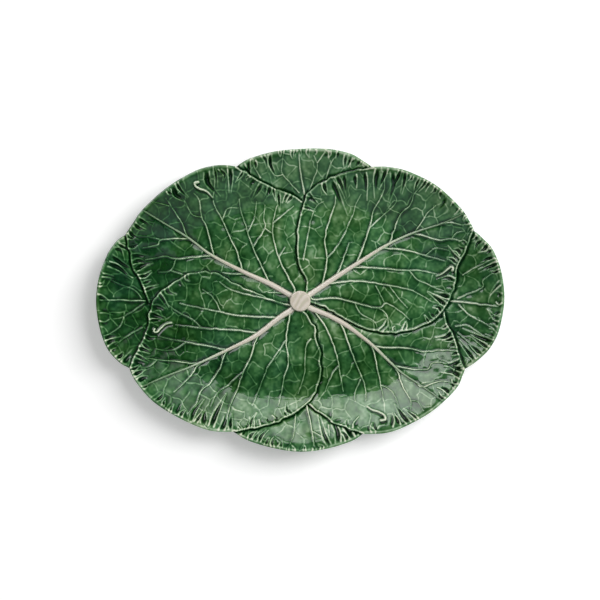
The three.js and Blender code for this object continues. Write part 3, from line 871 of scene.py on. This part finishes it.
# %% [markdown]
# ## Cutting a leaf out
# A leaf is modelled as a biscuit is cut. A fine grid is laid over it, the points outside its outline are
# deleted, the ragged border is drawn on to the outline, and the points are lifted to the relief. Then the
# sheet is extruded down to the underside to make a closed body, and the smooth underside, which needs few
# faces, is thinned.

# %% Helpers for a mesh's points
def new_grid(name, wide, tall):
    """Adds a flat grid with this many squares each way, from -1 to 1, and gives it a name."""
    bpy.ops.object.select_all(action="DESELECT")
    bpy.ops.mesh.primitive_grid_add(x_subdivisions=int(wide), y_subdivisions=int(tall), size=2)
    piece = bpy.context.object
    piece.name = name
    return piece


def lay_glaze(piece, thickness):
    """Keeps the thickness of the glaze at each of a mesh's points, for its material to read."""
    layer = piece.data.attributes.new("glaze", "FLOAT", "POINT")
    layer.data.foreach_set("value", thickness)


def points_of(piece):
    """A mesh's points, in metres."""
    made = np.zeros(len(piece.data.vertices) * 3)
    piece.data.vertices.foreach_get("co", made)
    return made.reshape(-1, 3)


def move_points(piece, points):
    """Gives a mesh's points new places, in metres."""
    piece.data.vertices.foreach_set("co", points.ravel())
    piece.data.update()


def chosen(piece):
    """Which of a mesh's points are selected."""
    made = np.zeros(len(piece.data.vertices), bool)
    piece.data.vertices.foreach_get("select", made)
    return made


def choose(piece, wanted):
    """Selects the wanted points of a mesh and nothing else."""
    for parts in (piece.data.edges, piece.data.polygons):
        parts.foreach_set("select", np.zeros(len(parts), bool))
    piece.data.vertices.foreach_set("select", wanted)


def sampled(field, x, y):
    """A field's value between the map's points."""
    u, v = map_place(x, y)
    u, v = np.clip(u, 0, len(xs) - 1.001), np.clip(v, 0, len(ys) - 1.001)
    j, i = u.astype(int), v.astype(int)
    return between(field, i, j, v - i, u - j)


def nearest_on(lines, points):
    """The nearest point on any of some lines, for each of some points."""
    best = np.full(len(points), np.inf)
    found = np.array(points)
    for line in lines:
        for start, run in zip(line[:-1], np.diff(line, axis=0)):
            t = np.clip((points - start) @ run / (run @ run + SLIVER), 0, 1)
            on = start + t[:, None] * run
            far = np.hypot(*(points - on).T)
            closer = far < best
            best = np.where(closer, far, best)
            found[closer] = on[closer]
    return found


def without_pinches(mask):
    """The mask with no point where two kept squares meet only at a corner, and no point without a square."""
    while True:
        square = mask[:-1, :-1] & mask[1:, :-1] & mask[:-1, 1:] & mask[1:, 1:]
        padded = np.pad(square, 1)
        a, b, c, d = padded[:-1, :-1], padded[:-1, 1:], padded[1:, :-1], padded[1:, 1:]
        at_corner = (a & d & ~b & ~c) | (b & c & ~a & ~d)
        kept = mask & (a | b | c | d) & ~at_corner
        if (kept == mask).all():
            return mask
        mask = kept


# %% Cut one leaf out
def cut_out(name, mask):
    """A flat sheet of the grid inside a mask, with its ragged border selected."""
    mask = without_pinches(mask)
    rows, columns = np.nonzero(mask)
    first_row, first_column = rows.min(), columns.min()
    tall, wide = rows.max() - first_row, columns.max() - first_column
    piece = new_grid(name, wide, tall)
    points = points_of(piece)
    column = first_column + np.rint((points[:, 0] + 1) / 2 * wide).astype(int)
    row = first_row + np.rint((points[:, 1] + 1) / 2 * tall).astype(int)
    move_points(piece, np.stack([xs[column], ys[row], 0 * row], axis=1) * MM)
    choose(piece, ~mask[row, column])
    bpy.ops.object.mode_set(mode="EDIT")
    bpy.ops.mesh.select_mode(type="VERT")
    bpy.ops.mesh.delete(type="VERT")
    bpy.ops.mesh.select_all(action="SELECT")
    bpy.ops.mesh.delete_loose(use_verts=True, use_edges=True, use_faces=False)
    bpy.ops.mesh.select_all(action="DESELECT")
    bpy.ops.mesh.select_non_manifold(
        use_wire=False, use_multi_face=False, use_non_contiguous=False, use_verts=False)
    bpy.ops.object.mode_set(mode="OBJECT")
    return piece


def drawn_to_outline(ragged, own_lines, covering_lines, covered):
    """Where a ragged border goes: on to the leaf's own lines or, where nearer, in under a covering one."""
    on_own = nearest_on(own_lines, ragged)
    if not covering_lines:
        return on_own
    on_cover = nearest_on(covering_lines, ragged)
    away = ragged - on_cover
    far = np.hypot(*away.T)[:, None] + SLIVER
    under = np.where(sampled(covered, *ragged.T) > 0.5, 1, -1)[:, None]
    tucked = on_cover + under * away / far * TUCK
    own_step = np.hypot(*(on_own - ragged).T)
    cover_step = np.hypot(*(tucked - ragged).T)
    return np.where((cover_step < own_step)[:, None], tucked, on_own)


# %% Lift and close one leaf
UNDER_KEPT = 0.06  # the share of the underside's faces that is kept
UNDER_GLAZE = 0.6  # how thick the glaze lies on the underside
UNDER_NEAR = 0.3  # points this near to the underside belong to it
LEAF_SHARP = math.radians(70)  # a sharper edge than this stays an edge


def close_below(piece, bottom):
    """Extrudes a lifted sheet down to the underside, which is then thinned."""
    bpy.ops.object.mode_set(mode="EDIT")
    bpy.ops.mesh.select_all(action="SELECT")
    bpy.ops.mesh.extrude_region_move(TRANSFORM_OT_translate={"value": (0, 0, -HEIGHT * MM)})
    bpy.ops.object.mode_set(mode="OBJECT")
    lower = chosen(piece)
    points = points_of(piece) / MM
    points[lower, 2] = sampled(bottom, points[lower, 0], points[lower, 1])
    move_points(piece, points * MM)
    bpy.ops.object.mode_set(mode="EDIT")
    bpy.ops.mesh.decimate(ratio=UNDER_KEPT)
    bpy.ops.mesh.select_all(action="SELECT")
    bpy.ops.mesh.normals_make_consistent(inside=False)
    bpy.ops.object.mode_set(mode="OBJECT")
    bpy.ops.object.shade_smooth_by_angle(angle=LEAF_SHARP)


def make_leaf(name, mask, own_lines, covering_lines, covered, top, bottom, glaze):
    """A closed leaf inside a mask, whose border follows its own lines or tucks in under the covering ones."""
    piece = cut_out(name, mask)
    border = chosen(piece)
    points = points_of(piece) / MM
    points[border, :2] = drawn_to_outline(points[border, :2], own_lines, covering_lines, covered)
    points[:, 2] = sampled(top, points[:, 0], points[:, 1])
    move_points(piece, points * MM)
    close_below(piece, bottom)
    points = points_of(piece) / MM
    below = points[:, 2] < sampled(bottom, points[:, 0], points[:, 1]) + UNDER_NEAR
    lay_glaze(piece, np.where(below, UNDER_GLAZE, sampled(glaze, points[:, 0], points[:, 1])))
    return piece


# %% Make the eight leaves
ROUND_EDGE = 2.4  # how far the rim's rounded edge reaches in
ROUND_TOP, ROUND_UNDER = 1.6, 1.4  # how far it falls above and rises below
THINNEST = 1.0  # what a pit leaves of a leaf
TUCK_LIFT, TUCK_FADE = 1.2, 0.8  # a tucked strip's underside is lifted, from this far outside the edge above
FIRST_SEED, SEED_STEP = 300, 100
leaves = {}
leaf_top = {}
for number, (side, leaf) in enumerate(LEAVES.items()):
    seed = FIRST_SEED + SEED_STEP * number
    relief, cup, pooled, pits, to_rim = relief_of(side, seed)
    glaze = glaze_of(relief, pooled, pits, to_rim, seed)
    rounded = np.clip(1 - to_rim / ROUND_EDGE, 0, 1) ** 2
    top = underside + LEAF_THICKNESS[leaf["order"]] + cup + relief - ROUND_TOP * rounded
    bottom = underside + ROUND_UNDER * rounded
    top = np.maximum(top, bottom + THINNEST)
    shown = leaf_mask[side].copy()
    covering, covered = [], np.zeros(map_x.shape)
    for above in leaf["under"]:
        shown &= ~(leaf_mask[above] & (edge_distance[above] > TUCK))
        covering += free_edge[above]
        covered = np.maximum(covered, leaf_mask[above])
        strip = np.where(leaf_mask[above], 1.0, np.clip(1 - edge_distance[above] / TUCK_FADE, 0, 1))
        bottom = bottom + TUCK_LIFT * strip
    own = [rim_lines[side]] + free_edge[side]
    leaves[side] = make_leaf("leaf_" + side, shown, own, covering, covered, top, bottom, glaze)
    leaf_top[side] = top
    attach(leaves[side], "root")
    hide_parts(leaf["node"])
    print("leaf", side, "has", len(leaves[side].data.polygons), "faces")

# %% [markdown]
# ## The midribs
# A midrib is a thick cream bar that tapers from the stalk to the rim. It is a grid again: its long side
# follows the rib's line, its short side is bent into a low arch, and the whole is extruded down into the
# leaf. Faint ridges run along it, as on a real cabbage.

# %% Make the four midribs
# Along the rib, from 0 at the stalk to 1 at the rim: places, and what it measures there.
RIB_HALF_WIDTH = ([0, 0.35, 0.6, 0.8, 1], [RIB_WIDTH[0] / 2, 2.1, 1.3, 0.9, RIB_WIDTH[1] / 2])
RIB_RISE = ([0, 0.3, 1], [2.3, 1.955, 0.5])
RIB_GREEN = ([0, 0.3, 0.5, 0.7, 1], [0, 0.15, 0.4, 0.7, 1])  # green glaze creeps on to it towards the rim
SIDE_GREEN = 0.6  # and along its two sides
RIB_SWELL, SWELL_LENGTH = 0.05, 7.3  # it swells a little along its length
RIDGE_HEIGHT, RIDGE_PHASE = 0.05, 9  # faint ridges, and their phase in radians per half width
RIDGE_WAVER, RIDGE_LENGTH = 0.3, 9  # they waver along the rib
RIB_ROUND = 0.96  # 1 would be a half ellipse that stands upright at its sides
RIB_ACROSS = 14  # squares from side to side
RIB_SINK = 0.25  # the share of its rise that lies below the leaf
RIB_SUNK = 2.0  # how far its body reaches down
RIB_START = 9.2  # from the middle, so that the stalk's side covers the end
SEAT_BLUR = 5  # the leaf's relief is averaged over this radius under it
RIB_SHARP = math.radians(60)


def make_rib(side):
    """A leaf's midrib: an arched bar along its line, which stands on the leaf's averaged height."""
    route = on_platter(MIDRIB[side])
    reach_in = RIB_START / math.hypot(*route[0])
    line = smooth([(route[0][0] * reach_in, route[0][1] * reach_in)] + route, spacing=0.8)
    far = lengths(line)
    share = far / far[-1]
    left = normals(line)
    count = len(line) - 1
    piece = new_grid("rib_" + side, count, RIB_ACROSS)
    points = points_of(piece)
    place = np.rint((points[:, 0] + 1) / 2 * count).astype(int)
    across = points[:, 1]
    half = np.interp(share, *RIB_HALF_WIDTH) * (1 + RIB_SWELL * np.sin(far / SWELL_LENGTH + len(line)))
    rise = np.interp(share, *RIB_RISE)
    seat = blurred(leaf_top[side], SEAT_BLUR)
    flat = line[place] + left[place] * (across * half[place])[:, None]
    arch = np.sqrt(np.clip(1 - RIB_ROUND * across ** 2, 0, 1))
    ridges = RIDGE_HEIGHT * np.cos(across * RIDGE_PHASE + RIDGE_WAVER * np.sin(far[place] / RIDGE_LENGTH))
    height = sampled(seat, line[place, 0], line[place, 1]) + rise[place] * (arch - RIB_SINK) + ridges
    made = np.stack([flat[:, 0], flat[:, 1], height], axis=1)
    move_points(piece, made * MM)
    bpy.ops.object.mode_set(mode="EDIT")
    bpy.ops.mesh.select_all(action="SELECT")
    bpy.ops.mesh.extrude_region_move(TRANSFORM_OT_translate={"value": (0, 0, -RIB_SUNK * MM)})
    bpy.ops.mesh.select_all(action="SELECT")
    bpy.ops.mesh.normals_make_consistent(inside=False)
    bpy.ops.object.mode_set(mode="OBJECT")
    bpy.ops.object.shade_smooth_by_angle(angle=RIB_SHARP)
    green = SIDE_GREEN * np.abs(across) ** 3 + np.interp(share[place], *RIB_GREEN)
    sunk = np.ones(len(piece.data.vertices) - len(across))
    lay_glaze(piece, np.clip(np.concatenate([green, sunk]), 0, 1))
    return piece


ribs = {side: make_rib(side) for side in MIDRIB}
for side, rib in ribs.items():
    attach(rib, "root")
    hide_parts("midrib_" + side)
    print("rib", side, "has", len(rib.data.polygons), "faces")

# %% [markdown]
# ## The stalk and the foot ring
# Both are turned shapes. The stalk is the cut end of the cabbage's stem: a low round button. The foot ring
# is turned too and then pressed to the oval of the well. Blender's spin operator turns a profile round the
# upright axis, as a potter's wheel would.

# %% Turn a profile
MERGE_DISTANCE = 0.02 * MM
TURNED_SHARP = math.radians(50)


def turned(name, profile, steps):
    """A closed shape turned from a profile of (radius, height) points, in metres."""
    bpy.ops.object.select_all(action="DESELECT")
    bpy.ops.mesh.primitive_plane_add(size=1)
    piece = bpy.context.object
    piece.name = name
    bpy.ops.object.mode_set(mode="EDIT")
    bpy.ops.mesh.select_all(action="SELECT")
    bpy.ops.mesh.delete(type="VERT")
    bpy.ops.object.mode_set(mode="OBJECT")
    edges = [(i, i + 1) for i in range(len(profile) - 1)]
    piece.data.from_pydata([(r, 0, z) for r, z in profile], edges, [])
    bpy.ops.object.mode_set(mode="EDIT")
    bpy.ops.mesh.select_all(action="SELECT")
    bpy.ops.mesh.spin(steps=steps, angle=2 * math.pi, center=(0, 0, 0), axis=(0, 0, 1))
    bpy.ops.mesh.select_all(action="SELECT")
    bpy.ops.mesh.remove_doubles(threshold=MERGE_DISTANCE)
    bpy.ops.mesh.normals_make_consistent(inside=False)
    bpy.ops.object.mode_set(mode="OBJECT")
    bpy.ops.object.shade_smooth_by_angle(angle=TURNED_SHARP)
    return piece


# %% The stalk
stalk_low, stalk_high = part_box("stalk_disc")
stalk_radius, stalk_top = stalk_high.x, stalk_high.z
STALK_ROUND = 1.1 * MM
STALK_CROWN = 0.25 * MM
STALK_LIFT, STALK_TAPER = 2 * MM, 1 * MM  # its foot stands higher than the construction's, and is tapered
STALK_CORE = 0.6  # the foot's share of its radius
STALK_STEPS, ROUND_STEPS = 96, 6
CROWN_RINGS = np.linspace(0.86, 0.02, 22)  # shares of its radius
GRAIN_HEIGHT = 0.13
GRAIN_ACROSS, GRAIN_PHASE = (0.8, -0.6), 1.15  # the direction across it, and radians per millimetre
GRAIN_WAVER, WAVER_PHASE, WAVER_START = 0.9, 0.4, 1  # it wavers along its length
GRAIN_MARGIN, GRAIN_FADE = 1.2, 1.5  # the grain leaves this much of the face's edge free
FACE_DEPTH = 0.4  # points this near to the top belong to the face
STALK_GREEN, GRAIN_GREEN, EDGE_GREEN = 0.2, 0.2, 0.35  # green all over, in the grain and at the edge
stalk_foot = stalk_low.z + STALK_LIFT
stalk_profile = [(0, stalk_foot), (stalk_radius * STALK_CORE, stalk_foot)]
stalk_profile.append((stalk_radius, stalk_foot + STALK_TAPER))
for turn in np.linspace(0, math.pi / 2, ROUND_STEPS):
    stalk_profile.append((stalk_radius - STALK_ROUND * (1 - math.cos(turn)),
                          stalk_top - STALK_ROUND * (1 - math.sin(turn))))
for share in CROWN_RINGS:
    stalk_profile.append((stalk_radius * share, stalk_top + STALK_CROWN * (1 - share ** 2)))
stalk_profile.append((0, stalk_top + STALK_CROWN))
stalk = turned("stalk", stalk_profile, STALK_STEPS)
points = points_of(stalk) / MM
inward = stalk_radius / MM - np.hypot(points[:, 0], points[:, 1])
across_grain = points[:, :2] @ GRAIN_ACROSS
waver = GRAIN_WAVER * np.sin(points[:, 0] * WAVER_PHASE + WAVER_START)
grain = np.sin(across_grain * GRAIN_PHASE + waver)
face = np.clip((inward - GRAIN_MARGIN) / GRAIN_FADE, 0, 1) * (points[:, 2] > stalk_top / MM - FACE_DEPTH)
points[:, 2] += GRAIN_HEIGHT * grain * face
move_points(stalk, points * MM)
stalk_edge = np.clip(1 - inward, 0, 1)
lay_glaze(stalk, np.clip(STALK_GREEN - GRAIN_GREEN * grain * face + EDGE_GREEN * stalk_edge ** 2, 0, 1))
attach(stalk, "root")
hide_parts("stalk_disc")
print("stalk has", len(stalk.data.polygons), "faces")

# %% The foot ring
foot_low, foot_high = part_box("foot_ring")
foot_a, foot_b = foot_high.x / MM, foot_high.y / MM
FOOT_WALL = 6.0
FOOT_ROUND = 1.4
FOOT_FLARE, FOOT_SEAT = 0.6, 0.4  # how far it spreads, and reaches into the leaves, at its top
FOOT_STEPS = 192
TURNING_RADIUS = 100  # it is turned round and then pressed to the oval
foot_profile = []
for centre, start in ((-FOOT_ROUND, -math.pi / 2), (-FOOT_WALL + FOOT_ROUND, -math.pi)):
    for turn in np.linspace(start, start + math.pi / 2, ROUND_STEPS)[::-1]:
        foot_profile.append((centre + FOOT_ROUND * math.cos(turn), FOOT_ROUND * (1 + math.sin(turn))))
foot_top = FOOT_HEIGHT + FOOT_SEAT
foot_profile = [(FOOT_FLARE, foot_top)] + foot_profile + [(-FOOT_WALL - FOOT_FLARE, foot_top)]
foot_profile.append(foot_profile[0])
foot = turned("foot", [((TURNING_RADIUS + r) * MM, z * MM) for r, z in foot_profile], FOOT_STEPS)
points = points_of(foot) / MM
angle = np.arctan2(points[:, 1], points[:, 0])
inset = np.hypot(points[:, 0], points[:, 1]) - TURNING_RADIUS
stretch = (np.abs(np.cos(angle)) ** SQUARENESS + np.abs(np.sin(angle)) ** SQUARENESS) ** (-1 / SQUARENESS)
points[:, 0] = (foot_a + inset) * np.cos(angle) * stretch
points[:, 1] = (foot_b + inset) * np.sin(angle) * stretch
move_points(foot, points * MM)
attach(foot, "root")
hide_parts("foot_ring")
print("foot ring has", len(foot.data.polygons), "faces")

# %% [markdown]
# ## The glazes
# Glazed earthenware is pale clay under a layer of coloured glass. Lead-type glazes are brilliant: an index
# of about 1.5 and a very smooth surface. The colour follows the glaze's thickness, from cream-green where
# it is thin to nearly black-green where it gathers, and it drifts a little from place to place.

# %% Helpers for materials
def linear(code):
    """An sRGB hex colour as linear red, green, blue and alpha."""
    channels = [int(code[i:i + 2], 16) / 255 for i in (1, 3, 5)]
    return tuple(c / 12.92 if c <= 0.04045 else ((c + 0.055) / 1.055) ** 2.4 for c in channels) + (1,)


def add(tree, kind, inputs=None, **settings):
    """Adds a node, gives it its settings, and links or sets its inputs."""
    node = tree.nodes.new(kind)
    for name, value in settings.items():
        setattr(node, name, value)
    for name, value in (inputs or {}).items():
        socket = node.inputs[name]
        if isinstance(value, bpy.types.NodeSocket):
            tree.links.new(value, socket)
        else:
            socket.default_value = value
    return node


def new_material(name):
    """An empty material and its tree of nodes."""
    material = bpy.data.materials.new(name)
    material.use_nodes = True
    tree = material.node_tree
    tree.nodes.clear()
    return material, tree


def ramp(tree, factor, stops):
    """A colour ramp through (place, hex colour) stops."""
    node = add(tree, "ShaderNodeValToRGB", {"Fac": factor})
    elements = node.color_ramp.elements
    while len(elements) < len(stops):
        elements.new(0.5)
    for element, (place, code) in zip(elements, stops):
        element.position = place
        element.color = linear(code)
    return node.outputs["Color"]


def per_metre(millimetres):
    """A noise texture's scale for features of about this size."""
    return 1 / (millimetres * MM)


def glaze_layer(tree, where, patch, spread):
    """The thickness of the glaze, made uneven by a spread in patches of about this many millimetres."""
    thickness = add(tree, "ShaderNodeAttribute", attribute_name="glaze").outputs["Fac"]
    drift = add(tree, "ShaderNodeTexNoise", {"Vector": where, "Scale": per_metre(patch), "Detail": 3.0})
    step = add(tree, "ShaderNodeMath", {0: drift.outputs["Fac"], 1: spread, 2: -spread / 2},
               operation="MULTIPLY_ADD")
    return add(tree, "ShaderNodeMath", {0: thickness, 1: step.outputs[0]}, operation="ADD").outputs[0]


# %% Green glaze
GREEN_STOPS = [(0.0, "#dfe4cf"), (0.15, "#c3d0b5"), (0.3, "#86a580"), (0.45, "#50794c"), (0.58, "#305b32"),
               (0.74, "#153b1a"), (0.88, "#0b2d12"), (1.0, "#05200b")]
GREEN_ROUGH, ROUGH_SPREAD = 0.07, 0.06  # the smoothest spots, and how much rougher others are


def make_green_glaze():
    """Brilliant green glaze over pale clay: cream-green where it breaks on crests, dark where it pools."""
    material, tree = new_material("green_majolica_glaze")
    where = add(tree, "ShaderNodeTexCoord").outputs["Object"]
    colour = ramp(tree, glaze_layer(tree, where, patch=9, spread=0.16), GREEN_STOPS)
    hue_drift = add(tree, "ShaderNodeTexNoise", {"Vector": where, "Scale": per_metre(26), "Detail": 2.0})
    hue = add(tree, "ShaderNodeMapRange", {
        "Value": hue_drift.outputs["Fac"], "From Min": 0.3, "From Max": 0.7, "To Min": 0.52, "To Max": 0.482,
    })
    tinted = add(tree, "ShaderNodeHueSaturation", {
        "Hue": hue.outputs[0], "Saturation": 1.06, "Color": colour,
    })
    speck = add(tree, "ShaderNodeTexNoise", {"Vector": where, "Scale": per_metre(1.6), "Detail": 2.0})
    gloss = add(tree, "ShaderNodeMath", {0: speck.outputs["Fac"], 1: ROUGH_SPREAD, 2: GREEN_ROUGH},
                operation="MULTIPLY_ADD")
    skin = add(tree, "ShaderNodeBump", {
        "Height": speck.outputs["Fac"], "Strength": 0.12, "Distance": 0.12 * MM,
    })
    shader = add(tree, "ShaderNodeBsdfPrincipled", {
        "Base Color": tinted.outputs["Color"], "Roughness": gloss.outputs[0], "IOR": 1.5,
        "Normal": skin.outputs["Normal"],
    })
    add(tree, "ShaderNodeOutputMaterial", {"Surface": shader.outputs["BSDF"]})
    return material


green_glaze = make_green_glaze()
print("green glaze with", len(GREEN_STOPS), "colours by its thickness")

# %% Cream glaze and bare clay
CREAM_STOPS = [(0.0, "#dbd3c7"), (0.3, "#cbc1b1"), (0.5, "#bcc2a9"), (0.75, "#94aa8c"), (1.0, "#61805b")]
CLAY_STOPS = [(0.25, "#c4ab85"), (0.5, "#d8c29e"), (0.75, "#e3d2b3")]


def make_cream_glaze():
    """Clear glaze over cream slip on the ribs and stalk, with a breath of green where it meets the leaves."""
    material, tree = new_material("cream_majolica_glaze")
    where = add(tree, "ShaderNodeTexCoord").outputs["Object"]
    colour = ramp(tree, glaze_layer(tree, where, patch=3, spread=0.3), CREAM_STOPS)
    shader = add(tree, "ShaderNodeBsdfPrincipled", {"Base Color": colour, "Roughness": 0.16, "IOR": 1.5})
    add(tree, "ShaderNodeOutputMaterial", {"Surface": shader.outputs["BSDF"]})
    return material


def make_bare_clay():
    """Fired earthenware that the glaze was wiped from: matt, buff and a little speckled."""
    material, tree = new_material("bare_earthenware")
    where = add(tree, "ShaderNodeTexCoord").outputs["Object"]
    grit = add(tree, "ShaderNodeTexNoise", {"Vector": where, "Scale": per_metre(0.9), "Detail": 4.0})
    colour = ramp(tree, grit.outputs["Fac"], CLAY_STOPS)
    rough = add(tree, "ShaderNodeBump", {
        "Height": grit.outputs["Fac"], "Strength": 0.4, "Distance": 0.15 * MM,
    })
    shader = add(tree, "ShaderNodeBsdfPrincipled", {
        "Base Color": colour, "Roughness": 0.85, "IOR": 1.5, "Normal": rough.outputs["Normal"],
    })
    add(tree, "ShaderNodeOutputMaterial", {"Surface": shader.outputs["BSDF"]})
    return material


cream_glaze = make_cream_glaze()
bare_clay = make_bare_clay()
for piece in leaves.values():
    piece.data.materials.append(green_glaze)
for piece in [*ribs.values(), stalk]:
    piece.data.materials.append(cream_glaze)
foot.data.materials.append(bare_clay)
print("materials:", green_glaze.name, cream_glaze.name, bare_clay.name)

# %% [markdown]
# ## Floor, light and camera
# The platter lies on a white sweep, which turns pure white far out, so that a low view has a white
# background too. A key light from the right and behind draws the soft shadow to the left, and the room and
# a faint softbox behind fill in the rest. Two wide panels show only as reflections. The one behind makes
# the pale band on the near rim, and it fades towards one end, as a diffuser does that is lit from the
# other. The bluish one in front is the wall of the room. The camera looks almost straight down.

# %% Floor
FLOOR_SIZE = 40
FLOOR_LIFT = 0.29  # added to the lit paper for the camera and reflections, near the platter
FLOOR_NEAR, FLOOR_FAR = 0.8, 3.0  # from here to there, this lift rises to white


def make_floor():
    """White paper that a camera and reflections see a little lighter than the lamps make it."""
    bpy.ops.object.select_all(action="DESELECT")
    bpy.ops.mesh.primitive_plane_add(size=FLOOR_SIZE)
    floor = bpy.context.object
    floor.name = "floor"
    material, tree = new_material("white_paper_sweep")
    paper = add(tree, "ShaderNodeBsdfDiffuse", {"Color": linear("#f4f4f4")})
    where = add(tree, "ShaderNodeTexCoord").outputs["Object"]
    far = add(tree, "ShaderNodeVectorMath", {0: where}, operation="LENGTH").outputs["Value"]
    lift = add(tree, "ShaderNodeMapRange", {
        "Value": far, "From Min": FLOOR_NEAR, "From Max": FLOOR_FAR, "To Min": FLOOR_LIFT, "To Max": 1.0,
    })
    lifted = add(tree, "ShaderNodeEmission", {"Color": linear("#ffffff"), "Strength": lift.outputs[0]})
    both = add(tree, "ShaderNodeAddShader", {0: paper.outputs[0], 1: lifted.outputs[0]})
    rays = add(tree, "ShaderNodeLightPath").outputs
    seen = rays["Is Camera Ray"]
    for kind in ("Is Glossy Ray", "Is Transmission Ray"):
        seen = add(tree, "ShaderNodeMath", {0: seen, 1: rays[kind]}, operation="MAXIMUM").outputs[0]
    shader = add(tree, "ShaderNodeMixShader", {"Fac": seen, 1: paper.outputs[0], 2: both.outputs[0]})
    add(tree, "ShaderNodeOutputMaterial", {"Surface": shader.outputs[0]})
    floor.data.materials.append(material)


make_floor()
print("floor", FLOOR_SIZE, "m wide")


# %% Lights
def make_light(name, place, aim, size, power):
    """A rectangular area light at a place, pointed at an aim. Sizes are in metres."""
    light = bpy.data.lights.new(name, "AREA")
    light.shape = "RECTANGLE"
    light.size, light.size_y = size
    light.energy = power
    lamp = bpy.data.objects.new(name, light)
    lamp.location = place
    toward = Vector(aim) - Vector(place)
    lamp.rotation_euler = toward.to_track_quat("-Z", "Y").to_euler()
    bpy.context.scene.collection.objects.link(lamp)
    return lamp


def fade(lamp, stops):
    """Dims a light along its length by a ramp, as a diffuser that is lit from one end."""
    lamp.data.use_nodes = True
    tree = lamp.data.node_tree
    tree.nodes.clear()
    place = add(tree, "ShaderNodeNewGeometry").outputs["Parametric"]
    lengthwise = add(tree, "ShaderNodeSeparateXYZ", {0: place}).outputs["X"]
    glow = add(tree, "ShaderNodeEmission", {"Color": ramp(tree, lengthwise, stops)})
    add(tree, "ShaderNodeOutputLight", {"Surface": glow.outputs[0]})


SHINE_FADE = [(0.0, "#ffffff"), (0.45, "#ffffff"), (0.62, "#dadada"), (0.78, "#848484"), (0.98, "#000000")]
make_light("back_softbox", (-0.3, 1.29, 1.5), (-0.3, 1.29, 0), (2.7, 1.42), 2)
shine = make_light("softbox_shine", (-0.3, 1.65, 1.49), (-0.3, 1.65, 0), (2.7, 2.1), 82)
shine.visible_diffuse = False
fade(shine, SHINE_FADE)
wall = make_light("front_wall_shine", (0, -1.33, 1.5), (0, -1.33, 0), (4.8, 2.14), 20)
wall.data.color = linear("#dcebf2")[:3]
wall.visible_diffuse = False
key = make_light("key_light", (2.0, 0.9, 2.6), (0, 0, 0), (1.8, 2.7), 105)
key.visible_glossy = False
print("lights:", [lamp.name for lamp in bpy.data.lights])

# %% Room
ROOM_FILL, ROOM_MIRRORED = 0.3, 0.05  # how bright the room lights, and how bright it shows in reflections
world = bpy.data.worlds.new("studio_room")
world.use_nodes = True
tree = world.node_tree
tree.nodes.clear()
bright = add(tree, "ShaderNodeBackground", {"Color": linear("#ffffff"), "Strength": ROOM_FILL})
dim = add(tree, "ShaderNodeBackground", {"Color": linear("#ffffff"), "Strength": ROOM_MIRRORED})
mirrored = add(tree, "ShaderNodeLightPath").outputs["Is Glossy Ray"]
room = add(tree, "ShaderNodeMixShader", {"Fac": mirrored, 1: bright.outputs[0], 2: dim.outputs[0]})
add(tree, "ShaderNodeOutputWorld", {"Surface": room.outputs[0]})
bpy.context.scene.world = world
bpy.context.scene.view_settings.view_transform = "Standard"
print("room lights at", ROOM_FILL, "and shows in reflections at", ROOM_MIRRORED)

# %% Camera
ELEVATION = math.radians(84)
DISTANCE = 1.55
LENS, SENSOR = 101.25, 36  # in millimetres
AIM = Vector((-0.00012, -0.0011, HEIGHT * MM))
camera_data = bpy.data.cameras.new("camera")
camera_data.lens = LENS
camera_data.sensor_width = SENSOR
camera = bpy.data.objects.new("camera", camera_data)
camera.location = AIM + Vector((0, -math.cos(ELEVATION), math.sin(ELEVATION))) * DISTANCE
camera.rotation_euler = (math.pi / 2 - ELEVATION, 0, 0)
bpy.context.scene.collection.objects.link(camera)
bpy.context.scene.camera = camera
print("camera at", [round(v, 3) for v in camera.location])
